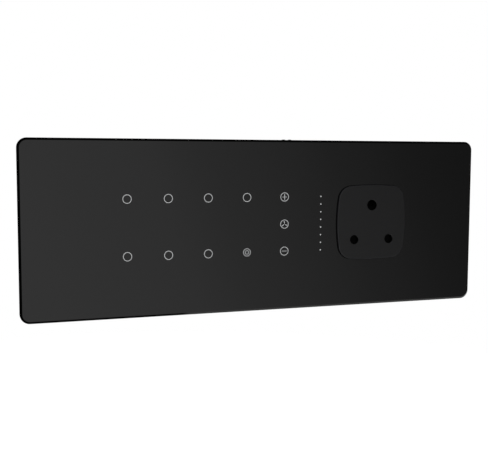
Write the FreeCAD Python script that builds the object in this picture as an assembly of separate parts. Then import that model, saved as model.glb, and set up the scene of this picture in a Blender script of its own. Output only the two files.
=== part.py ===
"""Switch panel: glass touch front with eleven keys, and a round-pin socket.

Frame: origin on the wall plane, midway between the two wall screws.
X runs right seen from the front, Y from the front into the wall, Z up.
Each piece is a function that returns its shape; build() writes one file per piece.
All sizes are in millimetres.
"""
import FreeCAD, Part
import math
import os

# Glass front and its frame
PANEL_W = 269.6
PANEL_H = 96.3
PANEL_CORNER_R = 5.2
PANEL_STANDOFF = 10.0
GLASS_T = 3.0
GLASS_CHAMFER = 1.25
CUTOUT_CHAMFER = 0.1
TAPE_T = 0.3
TAPE_BAND = 6.0
FRAME_INSET = 0.5
FRAME_WALL_T = 1.8
FRAME_WEB_T = 1.5
FRAME_WALL_GAP = 0.6
PRY_X = 14.1

# Marks on the glass: columns of keys on the module pitch, one column of speed dots
MODULE_PITCH = 22.5
KEY_COLUMNS = 5
GRID_DX = 0.2
GRID_DZ = 0.7
GRID_MODULES = 8
ROW_OFFSET = 15.39
DOT_COUNT = 8
DOT_PITCH = 4.405
DOT_DX = 33.65

# Socket
SOCKET_X = 66.0
SOCKET_Z = 0.75
SOCKET_W = 44.0
SOCKET_H = 43.3
SOCKET_SIDE_BOW = 2.3
SOCKET_TOP_BOW = 1.1
SOCKET_CORNER_R = 8.0
SOCKET_RAISE = 1.5
SOCKET_GAP = 0.2
SOCKET_WALL_T = 2.0
SOCKET_CAP_T = 3.0
SOCKET_FILLET = 0.3
PIN_PITCH = 22.45
EARTH_RISE = 20.0
PIN_R = 2.54
EARTH_PIN_R = 2.95
PIN_HOLE_CLEARANCE = 0.11
PIN_HOLE_BEVEL = 0.12
SLEEVE_CLEARANCE = 0.05
SLEEVE_WALL_T = 0.75
SLEEVE_INSET = 1.5
BLOCK_GAP = 0.3
SOCKET_SCREW_AT = 13.5
SOCKET_SCREW_SEAT_Y = 4.0
SOCKET_SCREW_TIP = 1.5
FLANGE_REACH = 3.6
EAR_REACH = 4.3
SLEEVE_CLAMP_Y = 4.5

# Shutter behind the pin holes
SHUTTER_TRAVEL = 6.0
SHUTTER_GAP = 0.3
SHUTTER_T = 2.1
SHUTTER_LAP = 0.3
SHUTTER_CLEAR = 0.4
SHUTTER_CORNER_R = 3.5
WEDGE_CLEAR = 0.03
WEDGE_TIP_T = 0.5
WEDGE_HALF_W = 3.6
SLOT_HALF_W = 1.9
SPRING_R = 1.25
SPRING_WIRE_R = 0.22
SPRING_LENGTH = 14.4
SPRING_TURNS = 8
SPRING_SEAT_GAP = 0.1
LEDGE_Z = -12.1

# Wall frame and its screws
PLATE_T = 3.0
PLATE_EDGE_GAP = 1.4
PLATE_CORNER_R = 4.0
BOX_RECESS = 0.4
BOX_RECESS_GAP = 0.5
REST_GAP = 0.3
WALL_SCREW_SPACING = 195.0
WALL_SLOT_HALF_W = 2.25
WALL_SLOT_LENGTH = 8.0
PEG_EDGE = 12.5
PEG_Z = 12.0
PEG_R = 2.0
PEG_GAP = 0.35
RIB_EDGE = 5.5
RIB_INSET = 10.45
CATCH_X = 88.0
CATCH_HALF_W = 4.0
CATCH_T = 0.4
CATCH_LENGTH = 6.7
CATCH_RIVET = 4.8

# Touch board
BOARD_T = 1.6
BOARD_X0 = -86.5
BOARD_X1 = 38.5
BOARD_HALF_H = 27.0
BOARD_GAP = 1.0
HEADER_X = -22.1
HEADER_Z = -20.7
PAD_R = 6.0
PAD_BORE_R = 3.75
TAB_HALF_W = 4.2
TAB_GAP = 0.6

# Power case and board
CASE_X0 = -91.0
CASE_X1 = 43.0
CASE_WALL_T = 2.0
CASE_SCREW_X = (-67.1, 23.1)
CASE_SCREW_INSET = 4.5
POWER_BOARD_Y = 10.1
POWER_POST_R = 2.8
POST_INSET = 5.0
TERMINAL_WAYS = 6
TERMINAL_PITCH = 7.5
TERMINAL_H = 13.4
TERMINAL_D = 12.5
SCREW_PLAY = 0.02

# Parts behind the power board, stacked from the top wall down to the terminals
RELAY_COUNT = 8
RELAY_W = 19.2
RELAY_H = 15.4
RELAY_D = 15.5
RELAY_PITCH = 21.5
REAR_GAP = 0.8
TOP_GAP = 1.3
ROW_GAP = 2.6
FILM_H = 7.5
FILM_GAP = 2.15
STEP_GAP = 1.15
TERMINAL_GAP = 0.5
TERMINAL_RIM = 0.6

# Depth stations that follow from the sizes above
Y_GLASS = -PANEL_STANDOFF
Y_GLASS_REAR = Y_GLASS + GLASS_T
Y_FRAME = Y_GLASS_REAR + TAPE_T
Y_WEB_REAR = Y_FRAME + FRAME_WEB_T
Y_PLATE = -PLATE_T
Y_TOUCH = Y_PLATE
Y_TOUCH_REAR = Y_TOUCH + BOARD_T
Y_SOCKET = Y_GLASS - SOCKET_RAISE
Y_CAP_REAR = Y_SOCKET + SOCKET_CAP_T
Y_SHUTTER = Y_CAP_REAR + SHUTTER_GAP
Y_BLOCK = Y_SHUTTER + SHUTTER_T + SHUTTER_GAP
Y_WEDGE_REAR = Y_SHUTTER + SHUTTER_TRAVEL + WEDGE_TIP_T
POWER_BOARD_REAR = POWER_BOARD_Y + BOARD_T
CASE_DEPTH = POWER_BOARD_REAR + RELAY_D + REAR_GAP + CASE_WALL_T
PARTS_H = TOP_GAP + 2 * RELAY_H + ROW_GAP + FILM_GAP + FILM_H + STEP_GAP
CASE_HALF_H = (PARTS_H + 2 * CASE_WALL_T + TERMINAL_GAP + TERMINAL_H + TERMINAL_RIM) / 2
CASE_IN_TOP = CASE_HALF_H - CASE_WALL_T
CASE_STEP_Z = CASE_IN_TOP - PARTS_H - CASE_WALL_T
CASE_STEP_Y = POWER_BOARD_REAR + 0.7 + CASE_WALL_T * 0.8
CASE_SCREW_Z = CASE_HALF_H - CASE_SCREW_INSET
RELAY_Z = (CASE_IN_TOP - TOP_GAP - RELAY_H / 2, CASE_IN_TOP - TOP_GAP - ROW_GAP - RELAY_H * 1.5)
FILM_Z = RELAY_Z[1] - RELAY_H / 2 - FILM_GAP - FILM_H / 2
TERMINAL_TOP = CASE_STEP_Z - TERMINAL_GAP
TERMINAL_Z = TERMINAL_TOP - 7.0
TALLEST = RELAY_D
EARTH_Z = EARTH_RISE / 2
PIN_Z = -EARTH_RISE / 2
PIN_X = PIN_PITCH / 2
PIN_HOLE_R = PIN_R + PIN_HOLE_CLEARANCE
EARTH_HOLE_R = EARTH_PIN_R + PIN_HOLE_CLEARANCE
WING_HALF_W = PIN_X + PIN_HOLE_R + SHUTTER_LAP
WING_TOP = PIN_Z + PIN_HOLE_R + SHUTTER_LAP
WING_BOTTOM = PIN_Z - PIN_HOLE_R - SHUTTER_LAP
WEDGE_TOP = EARTH_Z - EARTH_HOLE_R - WEDGE_CLEAR + SHUTTER_TRAVEL
SLOT_TOP = LEDGE_Z + SPRING_LENGTH + 2 * SPRING_SEAT_GAP
FRAME_HALF_W = PANEL_W / 2 - FRAME_INSET
FRAME_HALF_H = PANEL_H / 2 - FRAME_INSET
PLATE_HALF_W = FRAME_HALF_W - FRAME_WALL_T - PLATE_EDGE_GAP
PLATE_HALF_H = FRAME_HALF_H - FRAME_WALL_T - PLATE_EDGE_GAP
PEG_X = PLATE_HALF_W - PEG_EDGE
RIB_X = PLATE_HALF_W - RIB_EDGE
RIB_Z = PLATE_HALF_H - RIB_INSET
BLOCK_W = SOCKET_W - 2 * (SOCKET_WALL_T + BLOCK_GAP)
BLOCK_H = SOCKET_H - 2 * (SOCKET_WALL_T + BLOCK_GAP)


def vec(x, y, z):
    return FreeCAD.Vector(x, y, z)


def box(x0, x1, y0, y1, z0, z1):
    """Block between two corners."""
    return Part.makeBox(x1 - x0, y1 - y0, z1 - z0, vec(x0, y0, z0))


def rod_y(x, z, r, y0, y1):
    """Cylinder along Y."""
    return Part.makeCylinder(r, y1 - y0, vec(x, y0, z), vec(0, 1, 0))


def rod_z(x, y, r, z0, z1):
    """Cylinder along Z."""
    return Part.makeCylinder(r, z1 - z0, vec(x, y, z0), vec(0, 0, 1))


def tube_y(x, z, r_out, r_in, y0, y1):
    """Ring along Y."""
    return rod_y(x, z, r_out, y0, y1).cut(rod_y(x, z, r_in, y0 - 1, y1 + 1))


def round_corners(solid, r):
    """Rounds the upright edges of a plate whose thickness lies along Y."""
    return solid.makeFillet(r, [e for e in solid.Edges if abs(e.Vertexes[0].Y - e.Vertexes[-1].Y) > 1e-6])


def slab(w, h, r, y0, y1, x=0.0, z=0.0):
    """Plate with rounded corners, thickness along Y."""
    return round_corners(box(x - w / 2, x + w / 2, y0, y1, z - h / 2, z + h / 2), r)


def prism_x(points, x0, x1):
    """Outline given as (y, z) pairs, drawn out along X."""
    corners = [vec(x0, y, z) for y, z in points]
    face = Part.Face(Part.makePolygon(corners + [corners[0]]))
    return face.extrude(vec(x1 - x0, 0, 0))


def fused(shapes):
    """One solid out of shapes that touch."""
    return shapes[0].multiFuse(shapes[1:]).removeSplitter()


def rims(shape, y, keep=lambda p: True):
    """Edges that lie in the plane at depth y."""
    found = []
    for edge in shape.Edges:
        middle = edge.valueAt((edge.FirstParameter + edge.LastParameter) / 2)
        ends = [v.Point for v in edge.Vertexes] + [middle]
        if all(abs(p.y - y) < 1e-5 for p in ends) and keep(middle):
            found.append(edge)
    return found


def near(x, z, r):
    """Test for points within r of a place on the front."""
    return lambda p: math.hypot(p.x - x, p.z - z) < r


def socket_slab(grow, y0, y1):
    """Soft square of the socket, its four sides bowed outwards, larger by grow all round."""
    w, h = SOCKET_W / 2 + grow, SOCKET_H / 2 + grow
    x, z = w - SOCKET_SIDE_BOW, h - SOCKET_TOP_BOW
    corners = [(-x, -z), (x, -z), (x, z), (-x, z)]
    middles = [(0, -h), (w, 0), (0, h), (-w, 0)]
    sides = []
    for i, middle in enumerate(middles):
        points = [corners[i], middle, corners[(i + 1) % 4]]
        sides.append(Part.Arc(*[vec(px, y0, pz) for px, pz in points]).toShape())
    plate = Part.Face(Part.Wire(sides)).extrude(vec(0, y1 - y0, 0))
    return at_socket(round_corners(plate, SOCKET_CORNER_R + grow))


def at_socket(shape):
    """Moves a shape drawn round the socket's own centre to its place."""
    return shape.translated(vec(SOCKET_X, 0, SOCKET_Z))


def key_places():
    """Centres of the eleven touch keys, columns left to right."""
    first = GRID_DX - MODULE_PITCH * (GRID_MODULES - 1) / 2
    places = []
    for column in range(KEY_COLUMNS):
        x = first + column * MODULE_PITCH
        places += [(x, GRID_DZ + ROW_OFFSET), (x, GRID_DZ - ROW_OFFSET)]
    return places + [(x, GRID_DZ)]


def dot_places():
    """Centres of the speed dots, top to bottom."""
    top = GRID_DZ + DOT_PITCH * (DOT_COUNT - 1) / 2
    return [(GRID_DX + DOT_DX, top - i * DOT_PITCH) for i in range(DOT_COUNT)]


def board_screw_places():
    """Touch board screws, in the gaps between key columns."""
    first = GRID_DX - MODULE_PITCH * (GRID_MODULES - 1) / 2
    gaps = [first + (i + 0.5) * MODULE_PITCH for i in range(KEY_COLUMNS)]
    return [(gaps[1], 23.0), (gaps[1], -23.0), (gaps[3], 23.0), (gaps[3], -23.0), (gaps[0], 0.0), (gaps[4], 0.0)]


def pan_screw(x, z, y_seat, head_r, head_h, r, length, way):
    """Screw along Y; way is +1 when it is driven towards +Y."""
    head = sorted([y_seat, y_seat - way * head_h])
    shank = sorted([y_seat, y_seat + way * length])
    top = rod_y(x, z, head_r, head[0], head[1])
    top = top.makeChamfer(head_h * 0.3, rims(top, y_seat - way * head_h))
    return fused([top, rod_y(x, z, r, shank[0], shank[1])])


def glass_panel():
    glass = slab(PANEL_W, PANEL_H, PANEL_CORNER_R, Y_GLASS, Y_GLASS_REAR)
    glass = glass.makeChamfer(GLASS_CHAMFER, rims(glass, Y_GLASS))
    glass = glass.cut(socket_slab(SOCKET_GAP, Y_GLASS - 1, Y_GLASS_REAR + 1))
    return glass.makeChamfer(CUTOUT_CHAMFER, rims(glass, Y_GLASS, near(SOCKET_X, SOCKET_Z, 40)))


def glass_tape():
    grow = -FRAME_INSET - 0.4
    tape = slab(PANEL_W + 2 * grow, PANEL_H + 2 * grow, PANEL_CORNER_R + grow, Y_GLASS_REAR, Y_FRAME)
    left = -PANEL_W / 2 + TAPE_BAND
    right = BOARD_X1 - 0.5
    height = PANEL_H - 2 * TAPE_BAND
    window = slab(right - left, height, 3.0, Y_GLASS_REAR - 1, Y_FRAME + 1, (left + right) / 2, 0)
    return tape.cut(window).cut(socket_slab(SOCKET_GAP + 0.3, Y_GLASS_REAR - 1, Y_FRAME + 1))


def catch_ridge(x, side):
    """Bevelled ridge inside the frame's wall, behind a catch spring."""
    wall = FRAME_HALF_H - FRAME_WALL_T
    outline = [(-1.6, side * (wall + 0.3)), (-1.6, side * wall), (-1.3, side * (wall - 0.8))]
    outline += [(-1.0, side * (wall - 0.8)), (-0.7, side * wall), (-0.7, side * (wall + 0.3))]
    return prism_x(outline, x - CATCH_HALF_W, x + CATCH_HALF_W)


def frame_ribs():
    """Ribs and pegs on the rear of the web; the pegs fit the wall frame's holes."""
    y0, y1 = Y_WEB_REAR - 0.2, Y_PLATE - REST_GAP
    wide = FRAME_HALF_W - FRAME_WALL_T + 0.3
    ribs = [box(-wide, wide, y0, y1, side * RIB_Z - 0.6, side * RIB_Z + 0.6) for side in (-1, 1)]
    ribs += [box(side * RIB_X - 0.6, side * RIB_X + 0.6, y0, y1, -RIB_Z, RIB_Z) for side in (-1, 1)]
    for side in (-1, 1):
        peg = rod_y(side * PEG_X, PEG_Z, PEG_R, y0, -1.0)
        ribs.append(peg.makeChamfer(0.6, rims(peg, -1.0)))
        ribs.append(rod_y(side * PEG_X, PEG_Z, PEG_R + 1.5, y0, y1))
    return ribs


def pry_ribs():
    """Two small ribs on the top edge, on both sides of the pry slot."""
    x = GRID_DX + PRY_X
    top = PANEL_H / 2 + 0.3
    return [box(x + s * 1.85 - 0.5, x + s * 1.85 + 0.5, -6.2, -3.6, FRAME_HALF_H - 0.5, top) for s in (-1, 1)]


def front_frame():
    outer_r = PANEL_CORNER_R - FRAME_INSET
    rear = -FRAME_WALL_GAP
    tray = slab(2 * FRAME_HALF_W, 2 * FRAME_HALF_H, outer_r, Y_FRAME, rear)
    tray = tray.makeChamfer(0.5, rims(tray, rear))
    inner_w = 2 * (FRAME_HALF_W - FRAME_WALL_T)
    inner_h = 2 * (FRAME_HALF_H - FRAME_WALL_T)
    tray = tray.cut(slab(inner_w, inner_h, outer_r - FRAME_WALL_T, Y_WEB_REAR, 1))
    posts = [rod_y(x, z, 3.0, Y_WEB_REAR - 0.2, Y_TOUCH) for x, z in board_screw_places()]
    ridges = [catch_ridge(x, side) for x in (-CATCH_X, CATCH_X) for side in (-1, 1)]
    tray = fused([tray] + posts + ridges + frame_ribs() + pry_ribs())
    holes = [rod_y(x, z, PAD_R + 0.5, Y_FRAME - 1, Y_WEB_REAR + 1) for x, z in key_places()]
    holes += [rod_y(x, z, 1.0 + SCREW_PLAY, Y_WEB_REAR - 0.6, 0) for x, z in board_screw_places()]
    x, z = GRID_DX + DOT_DX, GRID_DZ
    holes.append(box(x - 2.8, x + 2.8, Y_FRAME - 1, Y_WEB_REAR + 1, z - 18.9, z + 18.9))
    holes.append(socket_slab(SOCKET_GAP, Y_FRAME - 1, 1))
    pry = GRID_DX + PRY_X
    holes.append(box(pry - 1.5, pry + 1.5, -2.1, 1, FRAME_HALF_H - FRAME_WALL_T - 1, FRAME_HALF_H + 1))
    return tray.cut(holes)


def header_places():
    """Two rows of ten header pins."""
    steps = [(i - 4.5, j - 0.5) for i in range(10) for j in range(2)]
    return [(HEADER_X + i * 2.54, HEADER_Z + j * 2.54) for i, j in steps]


def touch_board():
    x0, x1, h = BOARD_X0, BOARD_X1, BOARD_HALF_H
    board = slab(x1 - x0, 2 * h, 1.5, Y_TOUCH, Y_TOUCH_REAR, (x0 + x1) / 2, 0)
    w = TAB_HALF_W + TAB_GAP
    tab = CASE_SCREW_Z - 4.0 - TAB_GAP
    cuts = []
    for x in CASE_SCREW_X:
        cuts += [box(x - w, x + w, -5, 0, tab, h + 1), box(x - w, x + w, -5, 0, -h - 1, -tab)]
    cuts += [rod_y(x, z, 1.1, -5, 0) for x, z in board_screw_places()]
    cuts += [rod_y(x, z, 0.5, -5, 0) for x, z in header_places()]
    return board.cut(cuts)


def touch_pads():
    return [tube_y(x, z, PAD_R, PAD_BORE_R, Y_GLASS_REAR, Y_TOUCH) for x, z in key_places()]


def key_leds():
    parts = []
    for x, z in key_places():
        led = box(x - 1.75, x + 1.75, Y_TOUCH - 1.1, Y_TOUCH, z - 1.4, z + 1.4)
        parts.append(led.cut(rod_y(x, z, 1.0, Y_TOUCH - 1.2, Y_TOUCH - 0.8)))
    return parts


def speed_leds():
    return [box(x - 0.8, x + 0.8, Y_TOUCH - 0.6, Y_TOUCH, z - 0.4, z + 0.4) for x, z in dot_places()]


def light_guide():
    x, z = GRID_DX + DOT_DX, GRID_DZ
    bar = slab(5.0, 37.2, 1.0, Y_GLASS_REAR, Y_TOUCH, x, z)
    return bar.cut([rod_y(px, pz, 1.3, Y_GLASS_REAR - 1, Y_TOUCH + 1) for px, pz in dot_places()])


def chip(x, z, w, h, t):
    body = box(x - w / 2, x + w / 2, Y_TOUCH_REAR, Y_TOUCH_REAR + t, z - h / 2, z + h / 2)
    return body.makeChamfer(0.2, rims(body, Y_TOUCH_REAR + t))


def board_chips():
    return [chip(-45.0, 4.0, 10.0, 10.0, 1.2), chip(-8.0, 6.0, 7.0, 7.0, 1.0), chip(8.0, -12.0, 6.0, 5.0, 1.4)]


def radio_board():
    x = BOARD_X0 + 0.5
    return box(x, x + 15.6, Y_TOUCH_REAR, Y_TOUCH_REAR + 0.8, -2.0, 22.0)


def radio_shield():
    x, y = BOARD_X0 + 8.3, Y_TOUCH_REAR + 0.8
    can = slab(12.4, 15.0, 0.6, y, y + 2.4, x, 6.5)
    can = can.makeFillet(0.4, rims(can, y + 2.4))
    return can.cut(slab(12.0, 14.6, 0.4, y - 1, y + 2.2, x, 6.5))


def pin_header():
    x, y, z = HEADER_X, Y_TOUCH_REAR, HEADER_Z
    body = box(x - 12.7, x + 12.7, y, y + 2.5, z - 2.54, z + 2.54)
    return body.cut([box(x - 0.34, x + 0.34, -5, 5, z - 0.34, z + 0.34) for x, z in header_places()])


def header_pins():
    """Pins end inside the board, so that the foam pads lie flat on its front."""
    pins = []
    tip = POWER_BOARD_Y - 3.0
    for x, z in header_places():
        pin = box(x - 0.32, x + 0.32, Y_TOUCH + 0.15, tip, z - 0.32, z + 0.32)
        pins.append(pin.makeChamfer(0.15, rims(pin, tip)))
    return pins


def board_screws():
    return [pan_screw(x, z, Y_TOUCH_REAR, 1.9, 1.3, 1.0, 4.2, -1) for x, z in board_screw_places()]


def wall_frame_windows():
    """Openings for the electronics and for the socket."""
    x0, x1 = BOARD_X0 - BOARD_GAP, BOARD_X1 + BOARD_GAP
    h = BOARD_HALF_H + BOARD_GAP
    window = slab(x1 - x0, 2 * h, 2.0, Y_PLATE - 1, 1, (x0 + x1) / 2, 0)
    tab = CASE_SCREW_Z - 4.0
    for x in CASE_SCREW_X:
        window = window.cut(box(x - TAB_HALF_W, x + TAB_HALF_W, -5, 2, tab, h + 1))
        window = window.cut(box(x - TAB_HALF_W, x + TAB_HALF_W, -5, 2, -h - 1, -tab))
    return [window, socket_slab(BLOCK_GAP - SOCKET_WALL_T, Y_PLATE - 1, 1)]


def box_recess():
    """Over the wall box the rear is set back, so that only the border lies on the wall."""
    x0, x1 = CASE_X0 - BOX_RECESS_GAP, SOCKET_X + BLOCK_W / 2 + 2.0
    h = CASE_HALF_H + BOX_RECESS_GAP
    return slab(x1 - x0, 2 * h, 1.0, -BOX_RECESS, 1, (x0 + x1) / 2, 0)


def round_slot(x, y0, y1, r, length):
    """Slot along X with true half-round ends."""
    reach = length / 2 - r
    middle = box(x - reach, x + reach, y0, y1, -r, r)
    return fused([middle, rod_y(x - reach, 0, r, y0, y1), rod_y(x + reach, 0, r, y0, y1)])


def countersink(x, z, y, r_head, r_shank):
    """Cone for a flat screw head whose top is flush at depth y."""
    depth = r_head - r_shank
    return Part.makeCone(r_head, r_shank, depth, vec(x, y, z), vec(0, 1, 0))


def case_screw_places():
    return [(x, side * CASE_SCREW_Z) for x in CASE_SCREW_X for side in (-1, 1)]


def wall_frame():
    plate = slab(2 * PLATE_HALF_W, 2 * PLATE_HALF_H, PLATE_CORNER_R, Y_PLATE, 0)
    plate = plate.makeChamfer(0.5, rims(plate, Y_PLATE))
    cuts = wall_frame_windows() + [box_recess()]
    for side in (-1, 1):
        x = side * WALL_SCREW_SPACING / 2
        cuts.append(round_slot(x, Y_PLATE - 1, 1, WALL_SLOT_HALF_W, WALL_SLOT_LENGTH))
        cuts.append(round_slot(x, Y_PLATE - 1, Y_PLATE + 1.2, WALL_SLOT_HALF_W + 1.9, WALL_SLOT_LENGTH + 3.8))
        cuts.append(rod_y(side * PEG_X, PEG_Z, PEG_R + PEG_GAP, Y_PLATE - 1, 1))
        for up in (-1, 1):
            z = sorted([up * (PLATE_HALF_H - 1.8), up * (PLATE_HALF_H + 1)])
            notch = CATCH_HALF_W + 0.5
            cuts.append(box(side * CATCH_X - notch, side * CATCH_X + notch, Y_PLATE - 1, 1, z[0], z[1]))
            rivet_z = up * (PLATE_HALF_H - CATCH_RIVET)
            cuts.append(rod_y(side * CATCH_X, rivet_z, 1.0 + SCREW_PLAY, Y_PLATE - 1, 1))
    for x, z in case_screw_places():
        cuts.append(rod_y(x, z, 1.5 + SCREW_PLAY, Y_PLATE - 1, 1))
        cuts.append(countersink(x, z, Y_PLATE, 2.9 + SCREW_PLAY, 1.5 + SCREW_PLAY))
    return plate.cut(cuts)


def catch_springs():
    """Bent leaf with a nose over the edge of the wall frame, and its rivet."""
    t = CATCH_T
    edge = PLATE_HALF_H
    low = edge - CATCH_LENGTH
    y = Y_PLATE
    outline = [(y, low), (y - t, low), (y - t, edge - 0.5), (y + 0.5, edge + 1.1)]
    outline += [(y + 1.25, edge + 0.1), (y + 1.05, edge - 0.25), (y + 0.5, edge + 0.5), (y, edge - 0.9)]
    parts = []
    for x in (-CATCH_X, CATCH_X):
        for side in (-1, 1):
            leaf = prism_x([(y, side * z) for y, z in outline], x - CATCH_HALF_W, x + CATCH_HALF_W)
            z_rivet = side * (edge - CATCH_RIVET)
            head = rod_y(x, z_rivet, 1.7, y - t - 0.5, y - t)
            parts.append(fused([leaf, rod_y(x, z_rivet, 1.0, y - t, 0), head]))
    return parts


def case_profile(inset, y_front):
    """Stepped outline of the power case, (y, z) pairs."""
    t = inset
    top = CASE_HALF_H - t
    step_z = CASE_STEP_Z + t
    rear = CASE_DEPTH - t
    step_y = CASE_STEP_Y - t * 0.8
    points = [(y_front, -top), (step_y, -top), (step_y, step_z)]
    return points + [(rear, step_z), (rear, top), (y_front, top)]


def terminal_places():
    """Centre X of the two terminal blocks."""
    half = TERMINAL_WAYS * TERMINAL_PITCH / 2 + 0.4
    middle = (CASE_X0 + CASE_X1) / 2
    return [middle - half, middle + half]


def way_places(centre):
    return [centre + (i - (TERMINAL_WAYS - 1) / 2) * TERMINAL_PITCH for i in range(TERMINAL_WAYS)]


def power_posts():
    xs = (CASE_X0 + CASE_WALL_T + 3.7, CASE_X1 - CASE_WALL_T - 3.1)
    zs = (CASE_IN_TOP - POST_INSET, FILM_Z + 1.6)
    return [(x, z) for x in xs for z in zs]


def power_case():
    t = CASE_WALL_T
    rim = -BOX_RECESS
    shell = prism_x(case_profile(0.0, rim), CASE_X0, CASE_X1)
    cheeks = [box(CASE_X0, CASE_X0 + t, rim, CASE_DEPTH, -CASE_HALF_H, CASE_HALF_H)]
    cheeks.append(box(CASE_X1 - t, CASE_X1, rim, CASE_DEPTH, -CASE_HALF_H, CASE_HALF_H))
    shell = fused([shell] + cheeks)
    long_edges = [e for e in shell.Edges if is_case_corner(e)]
    shell = shell.makeFillet(1.5, long_edges)
    shell = shell.cut(prism_x(case_profile(t, -1.0), CASE_X0 + t, CASE_X1 - t))
    posts = [rod_y(x, z, POWER_POST_R, POWER_BOARD_REAR, CASE_DEPTH - t + 0.5) for x, z in power_posts()]
    bosses = []
    for x, z in case_screw_places():
        zz = sorted([z - math.copysign(4.0, z), math.copysign(CASE_HALF_H - t + 0.5, z)])
        bosses.append(box(x - 4.0, x + 4.0, rim, POWER_BOARD_Y - 1.5, zz[0], zz[1]))
    shell = fused([shell] + posts + bosses)
    return shell.cut(case_cuts())


def is_case_corner(edge):
    """Outer long edges at the rear of the case."""
    ends = [v.Point for v in edge.Vertexes]
    along = abs(ends[0].x - ends[-1].x) > 0.9 * (CASE_X1 - CASE_X0)
    return along and all(abs(p.y - CASE_DEPTH) < 1e-6 and abs(p.z - CASE_HALF_H) < 1e-6 for p in ends)


def case_cuts():
    """Screw holes, slots for the terminal pins and vents in the top wall."""
    cuts = [rod_y(x, z, 1.5 + SCREW_PLAY, -1, 7.9) for x, z in case_screw_places()]
    cuts += [rod_y(x, z, 1.25 + SCREW_PLAY, 10, 22) for x, z in power_posts()]
    for centre in terminal_places():
        reach = TERMINAL_WAYS * TERMINAL_PITCH / 2 - 1.5
        z0, z1 = TERMINAL_Z - 1.3, TERMINAL_Z + 1.3
        cuts.append(box(centre - reach, centre + reach, POWER_BOARD_REAR + 0.2, CASE_STEP_Y + 1, z0, z1))
    rows = int((CASE_X1 - CASE_X0 - 22) // 6)
    vents = [CASE_X0 + 13 + i * 6 for i in range(rows + 1)]
    y0, y1 = POWER_BOARD_REAR + 2.8, CASE_DEPTH - 4.0
    cuts += [box(x - 1.0, x + 1.0, y0, y1, CASE_IN_TOP - 1, CASE_HALF_H + 1) for x in vents]
    return cuts


def power_board():
    x0, x1 = CASE_X0 + CASE_WALL_T + 0.7, CASE_X1 - CASE_WALL_T - 0.7
    h = CASE_HALF_H - CASE_WALL_T - 0.7
    board = slab(x1 - x0, 2 * h, 1.5, POWER_BOARD_Y, POWER_BOARD_REAR, (x0 + x1) / 2, 0)
    cuts = [rod_y(x, z, 1.4, 5, 15) for x, z in power_posts()]
    cuts += [rod_y(x, z, 0.5, 5, 15) for x, z in header_places()]
    for centre in terminal_places():
        cuts += [rod_y(x, TERMINAL_Z, 0.95, 5, 15) for x in way_places(centre)]
    return board.cut(cuts)


def power_board_screws():
    return [pan_screw(x, z, POWER_BOARD_Y, 2.4, 1.6, 1.25, 9.0, 1) for x, z in power_posts()]


def case_screws():
    screws = []
    for x, z in case_screw_places():
        head = countersink(x, z, Y_PLATE, 2.9, 1.5)
        screws.append(fused([head, rod_y(x, z, 1.5, Y_PLATE + 1.0, 7.4)]))
    return screws


def component(x, z, size, edge):
    """Boxed part on the rear of the power board; size is (along X, along Y, along Z)."""
    w, d, h = size
    y0 = POWER_BOARD_REAR
    body = box(x - w / 2, x + w / 2, y0, y0 + d, z - h / 2, z + h / 2)
    return body.makeChamfer(edge, [e for e in body.Edges if max(v.Y for v in e.Vertexes) > y0 + 1])


def relay_places():
    first = CASE_X0 + 19.0
    return [(first + i * RELAY_PITCH, z) for z in RELAY_Z for i in range(RELAY_COUNT // 2)]


def relays():
    return [component(x, z, (RELAY_W, RELAY_D, RELAY_H), 0.4) for x, z in relay_places()]


def fan_capacitors():
    depth = TALLEST - 2.5
    return [component(CASE_X0 + x, FILM_Z, (18.0, depth, FILM_H), 0.6) for x in (21.0, 42.0, 63.0)]


def power_supply():
    return component(CASE_X1 - 23.0, RELAY_Z[0] - 5.0, (29.0, TALLEST - 1.5, 20.0), 0.8)


def bulk_capacitor():
    """Can with a rolled groove near its foot."""
    y0 = POWER_BOARD_REAR
    y1 = y0 + TALLEST - 0.5
    x, z = CASE_X1 - 15.5, FILM_Z + 3.1
    can = rod_y(x, z, 5.0, y0, y1)
    can = can.makeChamfer(0.6, rims(can, y1))
    return can.cut(tube_y(x, z, 6.0, 4.5, y0 + 1.6, y0 + 2.6))


def varistor():
    y0 = POWER_BOARD_REAR
    x, z = CASE_X1 - 39.5, FILM_Z + 2.7
    disc = rod_z(x, y0 + 7.5, 5.5, z - 2.1, z + 2.1)
    disc = disc.makeChamfer(0.9, [e for e in disc.Edges if e.Length > 20])
    legs = [rod_y(x + s * 2.5, z, 0.4, y0, y0 + 4.0) for s in (-1, 1)]
    return fused([disc] + legs)


def fuse():
    y0 = POWER_BOARD_REAR
    x, z = CASE_X1 - 27.4, FILM_Z + 2.6
    can = rod_y(x, z, 4.2, y0 + 0.6, y0 + 8.2)
    can = can.makeChamfer(0.5, rims(can, y0 + 8.2))
    legs = [rod_y(x + s * 2.54, z, 0.3, y0, y0 + 1.0) for s in (-1, 1)]
    return fused([can] + legs)


def header_socket():
    y1 = POWER_BOARD_Y
    x, z = HEADER_X, HEADER_Z
    body = box(x - 12.9, x + 12.9, y1 - 8.5, y1, z - 2.6, z + 2.6)
    holes = [box(x - 0.55, x + 0.55, y1 - 9, y1 - 1.5, z - 0.55, z + 0.55) for x, z in header_places()]
    return body.cut(holes)


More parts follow.
